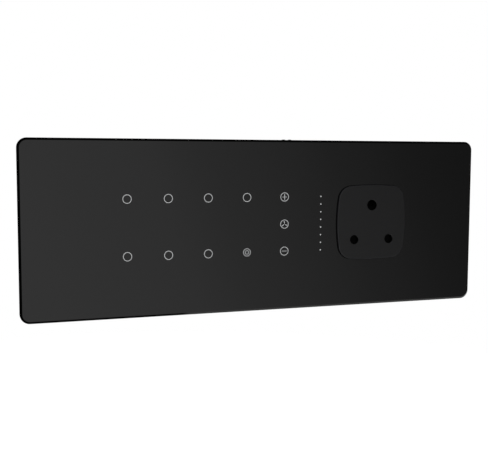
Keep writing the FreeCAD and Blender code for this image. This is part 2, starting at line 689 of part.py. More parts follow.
def terminal_blocks():
    """Six-way terminals: wires enter from below, screws face the rear."""
    blocks = []
    y0, y1 = CASE_STEP_Y, CASE_STEP_Y + TERMINAL_D
    z, top = TERMINAL_Z, TERMINAL_TOP
    for centre in terminal_places():
        half = TERMINAL_WAYS * TERMINAL_PITCH / 2
        body = box(centre - half, centre + half, y0, y1, top - TERMINAL_H, top)
        body = body.makeChamfer(1.2, [e for e in body.Edges if is_line_at(e, y1, top)])
        cuts = []
        for x in way_places(centre):
            cuts.append(box(x - 2.8, x + 2.8, y0 + 1.6, y0 + 8.8, top - TERMINAL_H - 1, top - 2.4))
            cuts.append(rod_y(x, z, 2.1, y0 + 8, y1 + 1))
            cuts.append(box(x - 0.7, x + 0.7, y0 - 1, y0 + 2, z - 0.7, z + 0.7))
        blocks.append(body.cut(cuts))
    return blocks


def is_line_at(edge, y, z):
    return all(abs(v.Y - y) < 1e-6 and abs(v.Z - z) < 1e-6 for v in edge.Vertexes)


def terminal_clamps():
    clamps = []
    y0, z = CASE_STEP_Y + 1.7, TERMINAL_Z
    for centre in terminal_places():
        for x in way_places(centre):
            cage = box(x - 2.7, x + 2.7, y0, y0 + 6.9, z - 5.0, z + 4.4)
            cage = cage.cut(box(x - 1.9, x + 1.9, y0 + 0.8, y0 + 5.3, z - 6, z + 5))
            cage = cage.cut(rod_y(x, z, 1.5 + SCREW_PLAY, y0 + 4, y0 + 8))
            pin = box(x - 0.5, x + 0.5, POWER_BOARD_Y - 1.2, y0 + 0.2, z - 0.5, z + 0.5)
            clamps.append(fused([cage, pin]))
    return clamps


def terminal_screws():
    y_seat = CASE_STEP_Y + 8.9
    places = [x for centre in terminal_places() for x in way_places(centre)]
    return [pan_screw(x, TERMINAL_Z, y_seat, 1.95, 2.0, 1.5, 4.2, -1) for x in places]


def socket_flange():
    w, h = SOCKET_W + 2 * FLANGE_REACH, SOCKET_H + 2 * FLANGE_REACH
    ring = slab(w, h, 6.0, Y_PLATE - 1.5, Y_PLATE, SOCKET_X, SOCKET_Z)
    return ring.makeChamfer(0.4, rims(ring, Y_PLATE - 1.5))


def shutter_guides():
    """Ribs inside the face: side rails of the wings, and stops above them that guide the stem too."""
    x = WING_HALF_W + SHUTTER_GAP
    y0, y1 = Y_CAP_REAR - 0.5, Y_BLOCK
    top = WING_TOP + SHUTTER_GAP
    ribs = []
    for side in (-1, 1):
        rail = sorted([side * x, side * (x + 1.5)])
        stop = sorted([side * (WEDGE_HALF_W + SHUTTER_GAP), side * (x + 1.5)])
        ribs.append(box(rail[0], rail[1], y0, y1, WING_BOTTOM - 2.0, top + 1.5))
        ribs.append(box(stop[0], stop[1], y0, y1, top, top + 1.5))
        ribs.append(rod_y(side * SOCKET_SCREW_AT, SOCKET_SCREW_AT, 3.0, y0, y1))
    return [at_socket(r) for r in ribs]


def pin_hole_cuts():
    """Entry holes for the three pins, with their bevels."""
    cuts = []
    places = [(-PIN_X, PIN_Z, PIN_HOLE_R), (PIN_X, PIN_Z, PIN_HOLE_R), (0.0, EARTH_Z, EARTH_HOLE_R)]
    for x, z, hole in places:
        cuts.append(rod_y(x, z, hole, Y_SOCKET - 1, Y_CAP_REAR + 1))
        bevel = PIN_HOLE_BEVEL + 0.5
        cuts.append(Part.makeCone(hole + bevel, hole, bevel, vec(x, Y_SOCKET - 0.5, z), vec(0, 1, 0)))
    return [at_socket(c) for c in cuts]


def socket_face():
    cap = socket_slab(0.0, Y_SOCKET, Y_PLATE)
    cap = cap.makeFillet(SOCKET_FILLET, rims(cap, Y_SOCKET))
    cap = fused([cap, socket_flange()])
    cap = cap.cut(socket_slab(-SOCKET_WALL_T, Y_CAP_REAR, 1))
    cap = fused([cap] + shutter_guides())
    at, end = SOCKET_SCREW_AT, Y_SOCKET + SOCKET_SCREW_TIP - 0.3
    screw_holes = [at_socket(rod_y(s * at, at, 1.5 + SCREW_PLAY, end, 0)) for s in (-1, 1)]
    return cap.cut(screw_holes + pin_hole_cuts())


def block_body():
    """Outline of the contact block with its two holding ears and the spring's ledge."""
    body = socket_slab(-SOCKET_WALL_T - BLOCK_GAP, Y_BLOCK, 18.0)
    body = body.makeChamfer(1.0, rims(body, 18.0))
    ear = BLOCK_H / 2 + EAR_REACH
    ears = box(-8, 8, -BOX_RECESS, 3.0, -ear, ear)
    ledge = box(-1.4, 1.4, Y_BLOCK - 2.1, Y_BLOCK + 0.5, LEDGE_Z - 1.8, LEDGE_Z)
    return fused([body, at_socket(ears), at_socket(ledge)])


def contact_block():
    """Pockets for sleeves, clamps, screws and the shutter's wedge, and the groove of its spring."""
    cuts = []
    at = SOCKET_SCREW_AT
    for side in (-1, 1):
        x = side * PIN_X
        cuts.append(rod_y(x, PIN_Z, sleeve_outer(PIN_R), Y_BLOCK - 1, 8))
        cuts.append(box(x - 4.05, x + 4.05, 7.0, 19, PIN_Z - 4.05, PIN_Z + 4.05))
        cuts.append(rod_z(x, 7.0 + SLEEVE_CLAMP_Y, 2.2, -25, PIN_Z))
        cuts.append(rod_y(side * at, at, 1.5 + SCREW_PLAY, Y_BLOCK - 1, SOCKET_SCREW_SEAT_Y + 1))
        cuts.append(rod_y(side * at, at, 3.1, SOCKET_SCREW_SEAT_Y, 19))
    low = WEDGE_TOP - 2 * SHUTTER_TRAVEL - 2.0 - SHUTTER_GAP
    reach, rear = WEDGE_HALF_W + SHUTTER_CLEAR, Y_WEDGE_REAR + SHUTTER_CLEAR
    cuts.append(box(-reach, reach, Y_BLOCK - 1, rear, low, WEDGE_TOP + 1.0))
    cuts.append(rod_y(0, EARTH_Z, sleeve_outer(EARTH_PIN_R), -3, 14))
    cuts.append(box(-4.6, 4.6, 9.6, 19, EARTH_Z - 4.6, EARTH_Z + 4.6))
    cuts.append(rod_z(0, 9.6 + SLEEVE_CLAMP_Y, 2.2, EARTH_Z, 25))
    cuts.append(box(-2.0, 2.0, Y_BLOCK - 0.01, Y_BLOCK + 1.0, LEDGE_Z, SLOT_TOP + 0.5))
    return block_body().cut([at_socket(c) for c in cuts])


def sleeve_outer(pin_r):
    return pin_r + SLEEVE_CLEARANCE + SLEEVE_WALL_T


def sleeve(x, z, pin_r, y0, y1, half, screw_side):
    """Contact tube with a wire clamp block at its rear end."""
    bore = pin_r + SLEEVE_CLEARANCE
    outer = sleeve_outer(pin_r)
    block = box(x - half, x + half, y1, y1 + 9.0, z - half, z + half)
    body = fused([rod_y(x, z, outer, y0, y1 + 0.5), block])
    body = body.cut(rod_y(x, z, bore, y0 - 1, y1))
    body = body.makeChamfer(0.35, rims(body, y0, near(x, z, bore + 0.1)))
    body = body.cut(rod_y(x, z, 1.8, y1 + 1.5, y1 + 10))
    ends = sorted([z, z + screw_side * (half + 1)])
    body = body.cut(rod_z(x, y1 + SLEEVE_CLAMP_Y, 1.5 + SCREW_PLAY, ends[0], ends[1]))
    return at_socket(body)


def line_sleeve():
    return sleeve(PIN_X, PIN_Z, PIN_R, Y_BLOCK + SLEEVE_INSET, 7.0, 4.0, -1)


def neutral_sleeve():
    return sleeve(-PIN_X, PIN_Z, PIN_R, Y_BLOCK + SLEEVE_INSET, 7.0, 4.0, -1)


def earth_sleeve():
    return sleeve(0.0, EARTH_Z, EARTH_PIN_R, Y_WEDGE_REAR + SHUTTER_GAP, 9.6, 4.5, 1)


def clamp_screw(x, y, z_seat, way):
    """Small screw along Z, driven towards +way."""
    head = sorted([z_seat, z_seat - way * 1.8])
    shank = sorted([z_seat, z_seat + way * 3.6])
    return at_socket(fused([rod_z(x, y, 2.0, head[0], head[1]), rod_z(x, y, 1.5, shank[0], shank[1])]))


def socket_terminal_screws():
    low, y = PIN_Z - 4.1, 7.0 + SLEEVE_CLAMP_Y
    earth = clamp_screw(0, 9.6 + SLEEVE_CLAMP_Y, EARTH_Z + 4.6, -1)
    return [clamp_screw(-PIN_X, y, low, 1), clamp_screw(PIN_X, y, low, 1), earth]


def socket_screws():
    at, seat = SOCKET_SCREW_AT, SOCKET_SCREW_SEAT_Y
    length = seat - Y_SOCKET - SOCKET_SCREW_TIP
    return [at_socket(pan_screw(s * at, at, seat, 2.8, 1.9, 1.5, length, -1)) for s in (-1, 1)]


def shutter():
    """Two wings over the lower holes, a stem with a sloped wedge for the earth pin, a slot for the spring."""
    y0, y1 = Y_SHUTTER, Y_SHUTTER + SHUTTER_T
    w = WING_HALF_W
    wings = box(-w, w, y0, y1, WING_BOTTOM, WING_TOP)
    lower = [e for e in wings.Edges if all(abs(v.Z - WING_BOTTOM) < 1e-6 for v in e.Vertexes)]
    lower = [e for e in lower if abs(e.Vertexes[0].Y - e.Vertexes[-1].Y) > 1]
    wings = wings.makeFillet(SHUTTER_CORNER_R, lower)
    foot = WEDGE_TOP - SHUTTER_TRAVEL
    stem = box(-WEDGE_HALF_W, WEDGE_HALF_W, y0, y1, WING_TOP - 1, foot - 2.0)
    ramp = [(y0, foot - 2.0), (y0, foot), (y0 + SHUTTER_TRAVEL, WEDGE_TOP), (Y_WEDGE_REAR, WEDGE_TOP)]
    ramp += [(Y_WEDGE_REAR, foot - 0.6), (y1, foot - 2.0)]
    wedge = prism_x(ramp, -WEDGE_HALF_W, WEDGE_HALF_W)
    slot = box(-SLOT_HALF_W, SLOT_HALF_W, y0 - 1, y1 + 1, WING_BOTTOM - 1, SLOT_TOP)
    return at_socket(fused([wings, stem, wedge]).cut(slot))


def shutter_spring():
    """Coil spring between the block's ledge and the top of the shutter's slot."""
    height = SPRING_LENGTH - 2 * SPRING_WIRE_R
    helix = Part.makeHelix(height / SPRING_TURNS, height, SPRING_R)
    turns = [math.radians(30 + 60 * i) for i in range(7)]
    wire = [vec(SPRING_R + SPRING_WIRE_R * math.cos(a), 0, SPRING_WIRE_R * math.sin(a)) for a in turns]
    coil = Part.Wire(helix).makePipeShell([Part.makePolygon(wire)], True, True)
    base = LEDGE_Z + SPRING_SEAT_GAP + SPRING_WIRE_R
    return at_socket(coil.translated(vec(0, Y_SHUTTER + 1.5, base)))


PIECES = (
    glass_panel, glass_tape, front_frame, touch_board, touch_pads, key_leds, speed_leds, light_guide,
    board_chips, radio_board, radio_shield, pin_header, header_pins, board_screws, wall_frame,
    catch_springs, power_case, case_screws, power_board, power_board_screws, relays, fan_capacitors,
    power_supply, bulk_capacitor, varistor, fuse, header_socket, terminal_blocks, terminal_clamps,
    terminal_screws, socket_face, contact_block, line_sleeve, neutral_sleeve, earth_sleeve,
    socket_terminal_screws, socket_screws, shutter, shutter_spring,
)


def build():
    os.makedirs("parts", exist_ok=True)
    for piece in PIECES:
        shape = piece()
        solids = shape if isinstance(shape, list) else shape.Solids
        shape = solids[0] if len(solids) == 1 else Part.makeCompound(solids)
        shape.exportStep("parts/%s.step" % piece.__name__)
        print(piece.__name__, len(solids), shape.isValid(), round(shape.Volume, 1))


build()
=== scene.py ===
"""Looks of a wide touch switch panel: glass front, tray, wall frame, electronics case and socket.

Every mesh is in metres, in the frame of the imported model: X right, Y into the wall, Z up. The sizes
that the classes hold are in millimetres. Each class dresses one sub-assembly: it gives finishes to
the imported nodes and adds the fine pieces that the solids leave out, such as prints, solder, leads,
recesses and threads.
"""
import logging
import math
import random
from dataclasses import dataclass
from enum import Enum
from typing import ClassVar

import bmesh
import bpy
from mathutils import Matrix, Vector


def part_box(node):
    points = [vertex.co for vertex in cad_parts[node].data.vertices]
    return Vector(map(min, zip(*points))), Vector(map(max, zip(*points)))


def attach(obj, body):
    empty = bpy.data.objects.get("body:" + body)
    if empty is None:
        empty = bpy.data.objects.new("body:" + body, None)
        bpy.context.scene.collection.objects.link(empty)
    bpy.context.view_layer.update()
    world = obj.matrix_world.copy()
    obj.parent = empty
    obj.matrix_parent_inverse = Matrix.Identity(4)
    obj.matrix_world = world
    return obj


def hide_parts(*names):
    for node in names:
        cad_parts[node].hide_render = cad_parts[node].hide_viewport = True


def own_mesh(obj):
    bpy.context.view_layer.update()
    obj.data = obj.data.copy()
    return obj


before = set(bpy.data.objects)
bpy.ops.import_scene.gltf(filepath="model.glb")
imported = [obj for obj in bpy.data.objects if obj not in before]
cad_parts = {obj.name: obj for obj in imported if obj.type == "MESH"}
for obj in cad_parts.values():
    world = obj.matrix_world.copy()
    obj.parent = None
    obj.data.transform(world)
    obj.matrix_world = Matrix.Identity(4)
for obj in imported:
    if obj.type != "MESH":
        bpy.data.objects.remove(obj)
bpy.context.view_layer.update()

MM = 0.001
QUARTER = math.pi / 2
log = logging.getLogger("switch_panel")

Point = tuple[float, float]
Form = bmesh.types.BMesh
Piece = bpy.types.Object
Tree = bpy.types.NodeTree
Node = bpy.types.Node
Out = bpy.types.NodeSocket
Inputs = dict[str | int, object]


# Nodes and colours

# Sockets of a Mix node by number, as their names occur twice: colours, their result, and numbers
COLOUR_A, COLOUR_B, COLOUR_OUT, NUMBER_A, NUMBER_B = 6, 7, 2, 2, 3


def linear(colour: str) -> tuple[float, float, float, float]:
    """Turns an sRGB hex colour into a linear one.

    Args:
        colour: six hex digits after a hash sign.

    Returns:
        Red, green, blue and an alpha of 1.
    """
    parts = [int(colour[i:i + 2], 16) / 255 for i in (1, 3, 5)]
    red, green, blue = [c / 12.92 if c <= 0.04045 else ((c + 0.055) / 1.055) ** 2.4 for c in parts]
    return red, green, blue, 1.0


def feed(node: Node, inputs: Inputs) -> None:
    """Links or sets the inputs of a node.

    Args:
        node: node of any tree.
        inputs: output socket or value for each input, by name or number.
    """
    for key, value in inputs.items():
        if isinstance(value, Out):
            node.id_data.links.new(value, node.inputs[key])
        else:
            node.inputs[key].default_value = value


def add_node(tree: Tree, kind: str, inputs: Inputs | None = None, stops: list[Point] | None = None,
             **settings: object) -> Node:
    """Adds a node with its settings and links.

    Args:
        tree: node tree that takes the node.
        kind: the node's type name.
        inputs: output socket or value for each input, by name or number.
        stops: place and grey level of each stop of a colour ramp.
        **settings: properties of the node.

    Returns:
        The new node.
    """
    node = tree.nodes.new(kind)
    for key, value in settings.items():
        setattr(node, key, value)
    feed(node, inputs or {})
    if stops:
        marks = node.color_ramp.elements
        while len(marks) < len(stops):
            marks.new(1.0)
        for mark, (place, level) in zip(marks, stops):
            mark.position = place
            mark.color = (level, level, level, 1.0)
    return node


def emptied(owner: bpy.types.Material | bpy.types.World) -> Tree:
    """Gives a material or world an empty node tree.

    Args:
        owner: the material or world.

    Returns:
        Its tree.
    """
    owner.use_nodes = True
    owner.node_tree.nodes.clear()
    return owner.node_tree


def lay_over(shader: Node, key: str, share: Out, value: str | float | Out) -> None:
    """Lays a colour or a number over what an input of the shader has now.

    Args:
        shader: the surface shader.
        key: name of its input.
        share: how much of the new value shows, from 0 to 1.
        value: hex colour, number or socket of a number.
    """
    socket, tree = shader.inputs[key], shader.id_data
    before = socket.links[0].from_socket if socket.links else socket.default_value
    if isinstance(value, str):
        mixed = add_node(tree, "ShaderNodeMix", {
            "Factor": share, COLOUR_A: before, COLOUR_B: linear(value)}, data_type="RGBA")
        feed(shader, {key: mixed.outputs[COLOUR_OUT]})
    else:
        mixed = add_node(tree, "ShaderNodeMix", {"Factor": share, NUMBER_A: before, NUMBER_B: value})
        feed(shader, {key: mixed.outputs[0]})


def facing(tree: Tree) -> tuple[Out, Out]:
    """Reads from the normal how a surface faces.

    Args:
        tree: the material's nodes.

    Returns:
        How squarely it faces the front or the rear, from 0 to 1, and the upward part of its normal.
    """
    normal = add_node(tree, "ShaderNodeTexCoord").outputs["Normal"]
    axes = add_node(tree, "ShaderNodeSeparateXYZ", {"Vector": normal})
    flat = add_node(tree, "ShaderNodeMath", {0: axes.outputs["Y"]}, operation="ABSOLUTE")
    return flat.outputs[0], axes.outputs["Z"]


def per_mm(size: float) -> float:
    """Scale of a texture whose features are that many millimetres across."""
    return 1.0 / (size * MM)


# Finishes

@dataclass(frozen=True)
class Finish:
    """A surface: its name, two close colours, its roughness, and the size and depth of its grain.

    The fixed values are the same all over the surface and go straight to the shader's sockets.
    """

    name: str
    colour: str
    shade: str
    roughness: float = 0.5
    grain: float = 0.6
    relief: float = 0.01
    fixed: ClassVar[dict[str, float]] = {}

    def material(self) -> bpy.types.Material:
        """Builds the node material.

        Returns:
            The material, named for the finish.
        """
        made = bpy.data.materials.new(self.name)
        tree = emptied(made)
        shader = add_node(tree, "ShaderNodeBsdfPrincipled", self.fixed)
        self.paint(shader, add_node(tree, "ShaderNodeTexCoord").outputs["Object"])
        add_node(tree, "ShaderNodeOutputMaterial", {"Surface": shader.outputs["BSDF"]})
        return made

    def paint(self, shader: Node, where: Out) -> None:
        """Lets the colour drift between the two tones, and fine grain give the gloss and the relief.

        Args:
            shader: the material's surface shader.
            where: object coordinates.
        """
        tree = shader.id_data
        drift = add_node(tree, "ShaderNodeTexNoise", {"Vector": where, "Scale": per_mm(18.0), "Detail": 3.0})
        grain = add_node(tree, "ShaderNodeTexNoise", {
            "Vector": where, "Scale": per_mm(self.grain), "Detail": 2.0})
        gloss = add_node(tree, "ShaderNodeMapRange", {
            "Value": grain.outputs["Fac"], "From Min": 0.3, "From Max": 0.7,
            "To Min": self.roughness - 0.05, "To Max": self.roughness + 0.05})
        self.fill(shader, drift.outputs["Fac"], gloss.outputs["Result"], grain.outputs["Fac"], strength=0.6)

    def fill(self, shader: Node, share: Out, rough: Out | float, height: Out, strength: float) -> None:
        """Feeds the shader from the patterns of the finish.

        Args:
            shader: the material's surface shader.
            share: share of the second tone in the first.
            rough: roughness.
            height: pattern of the relief.
            strength: how strongly the relief shows.
        """
        tree = shader.id_data
        tone = add_node(tree, "ShaderNodeMix", {
            "Factor": share, COLOUR_A: linear(self.colour), COLOUR_B: linear(self.shade)}, data_type="RGBA")
        bump = add_node(tree, "ShaderNodeBump", {
            "Height": height, "Strength": strength, "Distance": self.relief * MM})
        feed(shader, {"Base Color": tone.outputs[COLOUR_OUT], "Roughness": rough,
                      "Normal": bump.outputs["Normal"]})


@dataclass(frozen=True)
class MouldedPlastic(Finish):
    """Injection-moulded plastic with a spark-eroded grain: soft sheen broken up by fine pits."""

    fixed: ClassVar[dict[str, float]] = {"IOR": 1.5}
    pit: ClassVar[float] = 1.6

    def paint(self, shader: Node, where: Out) -> None:
        """Adds the pits of the eroded mould, which are wider than the grain, to the plain finish.

        Args:
            shader: the material's surface shader.
            where: object coordinates.
        """
        super().paint(shader, where)
        tree = shader.id_data
        pits = add_node(tree, "ShaderNodeTexVoronoi", {
            "Vector": where, "Scale": per_mm(self.grain * self.pit)}, feature="SMOOTH_F1")
        bump = add_node(tree, "ShaderNodeBump", {
            "Height": pits.outputs["Distance"], "Strength": 0.5, "Distance": self.relief * MM,
            "Normal": shader.inputs["Normal"].links[0].from_socket})
        feed(shader, {"Normal": bump.outputs["Normal"]})


@dataclass(frozen=True)
class SocketMoulding(MouldedPlastic):
    """Socket face: satin front, a matt rounding round it painted paler as a highlight, and pin holes painted
    near-black as shade, without gloss.
    """

    # The paler rim colour is a painted highlight on the rounding; its roughness and gloss are the moulding's
    # own
    painted_rim_highlight: str = "#28282A"
    rim_roughness: float = 0.6
    rim_gloss: float = 0.15
    # The near-black hole colour and its low gloss are painted shade inside the pin holes
    painted_hole_shade: str = "#030303"
    hole_gloss: float = 0.05
    holes_within: float = 20.0

    def paint(self, shader: Node, where: Out) -> None:
        """Tells front, rounding and holes apart by the way they face and how far from the centre they are.

        Args:
            shader: the material's surface shader.
            where: object coordinates.
        """
        super().paint(shader, where)
        tree = shader.id_data
        low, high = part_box("socket_face")
        centre = ((low.x + high.x) / 2, low.y, (low.z + high.z) / 2)
        away = add_node(tree, "ShaderNodeVectorMath", {0: where, 1: centre}, operation="DISTANCE")
        outer = add_node(tree, "ShaderNodeMath", {0: away.outputs["Value"], 1: self.holes_within * MM},
                         operation="GREATER_THAN").outputs[0]
        flat, _ = facing(tree)
        band = add_node(tree, "ShaderNodeValToRGB", {"Fac": flat},
                        stops=[(0.0, 0.15), (0.3, 1.0), (0.9, 1.0), (0.99, 0.0)])
        matt_rim_and_highlight = add_node(tree, "ShaderNodeMath", {0: band.outputs["Color"], 1: outer},
                       operation="MULTIPLY").outputs[0]
        wall = add_node(tree, "ShaderNodeMath", {0: flat, 1: 0.5}, operation="LESS_THAN")
        hole_shade = add_node(tree, "ShaderNodeMath", {0: wall.outputs[0], 1: outer}, operation="SUBTRACT",
                        use_clamp=True).outputs[0]
        # Painted highlight: the rounding is coloured paler; its higher roughness and lower gloss are the
        # moulding's own
        lay_over(shader, "Base Color", matt_rim_and_highlight, self.painted_rim_highlight)
        # Painted shade: the walls of the pin holes are coloured near-black and lose their gloss
        lay_over(shader, "Base Color", hole_shade, self.painted_hole_shade)
        lay_over(shader, "Roughness", matt_rim_and_highlight, self.rim_roughness)
        lay_over(shader, "Specular IOR Level", matt_rim_and_highlight, self.rim_gloss)
        lay_over(shader, "Specular IOR Level", hole_shade, self.hole_gloss)


@dataclass(frozen=True)
class FibreFilled(MouldedPlastic):
    """Glass-filled polyamide: the melt leaves its fibres in pale clouds, longer along the moulding."""

    pale: str = "#6B6D6F"
    cloud: float = 3.0
    squeeze: float = 0.55
    most: float = 0.24

    def paint(self, shader: Node, where: Out) -> None:
        """Adds the clouds of fibre to the moulded finish.

        Args:
            shader: the material's surface shader.
            where: object coordinates.
        """
        super().paint(shader, where)
        tree = shader.id_data
        flow = add_node(tree, "ShaderNodeMapping", {"Vector": where, "Scale": (self.squeeze, 1.0, 1.0)})
        fibres = add_node(tree, "ShaderNodeTexNoise", {
            "Vector": flow.outputs["Vector"], "Scale": per_mm(self.cloud), "Detail": 4.0})
        share = add_node(tree, "ShaderNodeMapRange", {
            "Value": fibres.outputs["Fac"], "From Min": 0.45, "From Max": 0.75, "To Max": self.most})
        lay_over(shader, "Base Color", share.outputs["Result"], self.pale)


@dataclass(frozen=True)
class PrintedGlass(Finish):
    """Soda-lime glass printed black on its back: deep, nearly colourless gloss, edges ground and inked.

    Along the lower edge the ink ends left of the middle. To the right of that the ground glass is bare
    and a little glossier.
    """

    edge_roughness: float = 0.3
    bared_gloss: float = 0.16
    ink_end: float = -46.0
    ink_fade: float = 2.0
    fixed: ClassVar[dict[str, float]] = {"IOR": 1.52}

    def paint(self, shader: Node, where: Out) -> None:
        """Gives polished faces with the faint haze and waviness of float glass, and dull inked edges.

        Args:
            shader: the material's surface shader.
            where: object coordinates.
        """
        tree = shader.id_data
        flat, upward = facing(tree)
        edge = add_node(tree, "ShaderNodeMapRange", {
            "Value": flat, "From Min": 0.98, "From Max": 0.9}).outputs["Result"]
        haze = add_node(tree, "ShaderNodeTexNoise", {"Vector": where, "Scale": per_mm(40.0), "Detail": 4.0})
        clean = add_node(tree, "ShaderNodeMapRange", {
            "Value": haze.outputs["Fac"], "To Min": self.roughness - 0.01, "To Max": self.roughness + 0.02})
        wave = add_node(tree, "ShaderNodeTexNoise", {
            "Vector": where, "Scale": per_mm(self.grain), "Detail": 0.0})
        self.fill(shader, edge, clean.outputs["Result"], wave.outputs["Fac"], strength=0.25)
        lay_over(shader, "Roughness", edge, self.edge_roughness)
        along = add_node(tree, "ShaderNodeSeparateXYZ", {"Vector": where})
        beyond = add_node(tree, "ShaderNodeMapRange", {
            "Value": along.outputs["X"], "From Min": (self.ink_end - self.ink_fade) * MM,
            "From Max": (self.ink_end + self.ink_fade) * MM})
        below = add_node(tree, "ShaderNodeMapRange", {
            "Value": upward, "From Min": -0.2, "From Max": -0.5, "To Max": self.bared_gloss})
        bare = add_node(tree, "ShaderNodeMath", {0: beyond.outputs["Result"], 1: below.outputs["Result"]},
                        operation="MULTIPLY")
        lay_over(shader, "Specular IOR Level", edge, bare.outputs[0])


@dataclass(frozen=True)
class PlatedMetal(Finish):
    """Plated or plain metal: slightly cloudy gloss with fine lines, given by how fine they are by axis."""

    lines: tuple[float, float, float] = (1.0, 1.0, 1.0)
    fixed: ClassVar[dict[str, float]] = {"Metallic": 1.0}

    def paint(self, shader: Node, where: Out) -> None:
        """Clouds the two tones into each other and draws the lines of rolling, drawing or turning.

        Args:
            shader: the material's surface shader.
            where: object coordinates.
        """
        tree = shader.id_data
        cloud = add_node(tree, "ShaderNodeTexNoise", {"Vector": where, "Scale": per_mm(3.0), "Detail": 3.0})
        drawn = add_node(tree, "ShaderNodeMapping", {"Vector": where, "Scale": self.lines})
        line = add_node(tree, "ShaderNodeTexNoise", {
            "Vector": drawn.outputs["Vector"], "Scale": per_mm(self.grain), "Detail": 3.0})
        gloss = add_node(tree, "ShaderNodeMapRange", {
            "Value": line.outputs["Fac"], "To Min": self.roughness - 0.1, "To Max": self.roughness + 0.1})
        self.fill(shader, cloud.outputs["Fac"], gloss.outputs["Result"], line.outputs["Fac"], strength=0.4)


@dataclass(frozen=True)
class SolderMask(Finish):
    """Glass-epoxy board under solder mask: tracks show as raised, lighter lines, and sawn edges are straw."""

    laminate: str = "#B9A56B"
    track: float = 2.2

    def paint(self, shader: Node, where: Out) -> None:
        """Draws tracks along the borders of square cells, and bare laminate on the sawn edges.

        Args:
            shader: the material's surface shader.
            where: object coordinates.
        """
        tree = shader.id_data
        cells = {"Vector": where, "Scale": per_mm(self.track), "Randomness": 0.75}
        second, nearest = [add_node(tree, "ShaderNodeTexVoronoi", cells, distance="MANHATTAN",
                                    feature=which).outputs["Distance"] for which in ("F2", "F1")]
        border = add_node(tree, "ShaderNodeMath", {0: second, 1: nearest}, operation="SUBTRACT")
        tracks = add_node(tree, "ShaderNodeMapRange", {
            "Value": border.outputs[0], "From Min": 0.1, "From Max": 0.14, "To Min": 1.0,
            "To Max": 0.0}).outputs["Result"]
        weave = add_node(tree, "ShaderNodeTexNoise", {
            "Vector": where, "Scale": per_mm(self.grain), "Detail": 1.0})
        gloss = add_node(tree, "ShaderNodeMapRange", {
            "Value": weave.outputs["Fac"], "To Min": self.roughness - 0.06, "To Max": self.roughness + 0.06})
        self.fill(shader, tracks, gloss.outputs["Result"], tracks, strength=0.5)
        flat, _ = facing(tree)
        sawn = add_node(tree, "ShaderNodeMath", {0: flat, 1: 0.5}, operation="LESS_THAN")
        lay_over(shader, "Base Color", sawn.outputs[0], self.laminate)


@dataclass(frozen=True)
class CellFoam(Finish):
    """Cut foam: dull, with dark cells, the first colour, in a paler web, the second."""

    def paint(self, shader: Node, where: Out) -> None:
        """Draws and sinks the cut cells.

        Args:
            shader: the material's surface shader.
            where: object coordinates.
        """
        web = add_node(shader.id_data, "ShaderNodeTexVoronoi", {
            "Vector": where, "Scale": per_mm(self.grain)}).outputs["Distance"]
        self.fill(shader, web, self.roughness, web, strength=0.8)


@dataclass(frozen=True)
class CastEpoxy(Finish):
    """Cast or dipped epoxy: the plain finish under a clear gloss coat."""

    fixed: ClassVar[dict[str, float]] = {"Coat Weight": 0.5, "Coat Roughness": 0.08}


@dataclass(frozen=True)
class EnamelPrint(Finish):
    """Ceramic enamel fired on the glass: grey, matt, with a faintly uneven density."""

    fixed: ClassVar[dict[str, float]] = {"Specular IOR Level": 0.3}


@dataclass(frozen=True)
class DeadMatt(Finish):
    """Matt moulding that is seen only down a deep hole: almost no gloss comes back out."""

    fixed: ClassVar[dict[str, float]] = {"Specular IOR Level": 0.1}


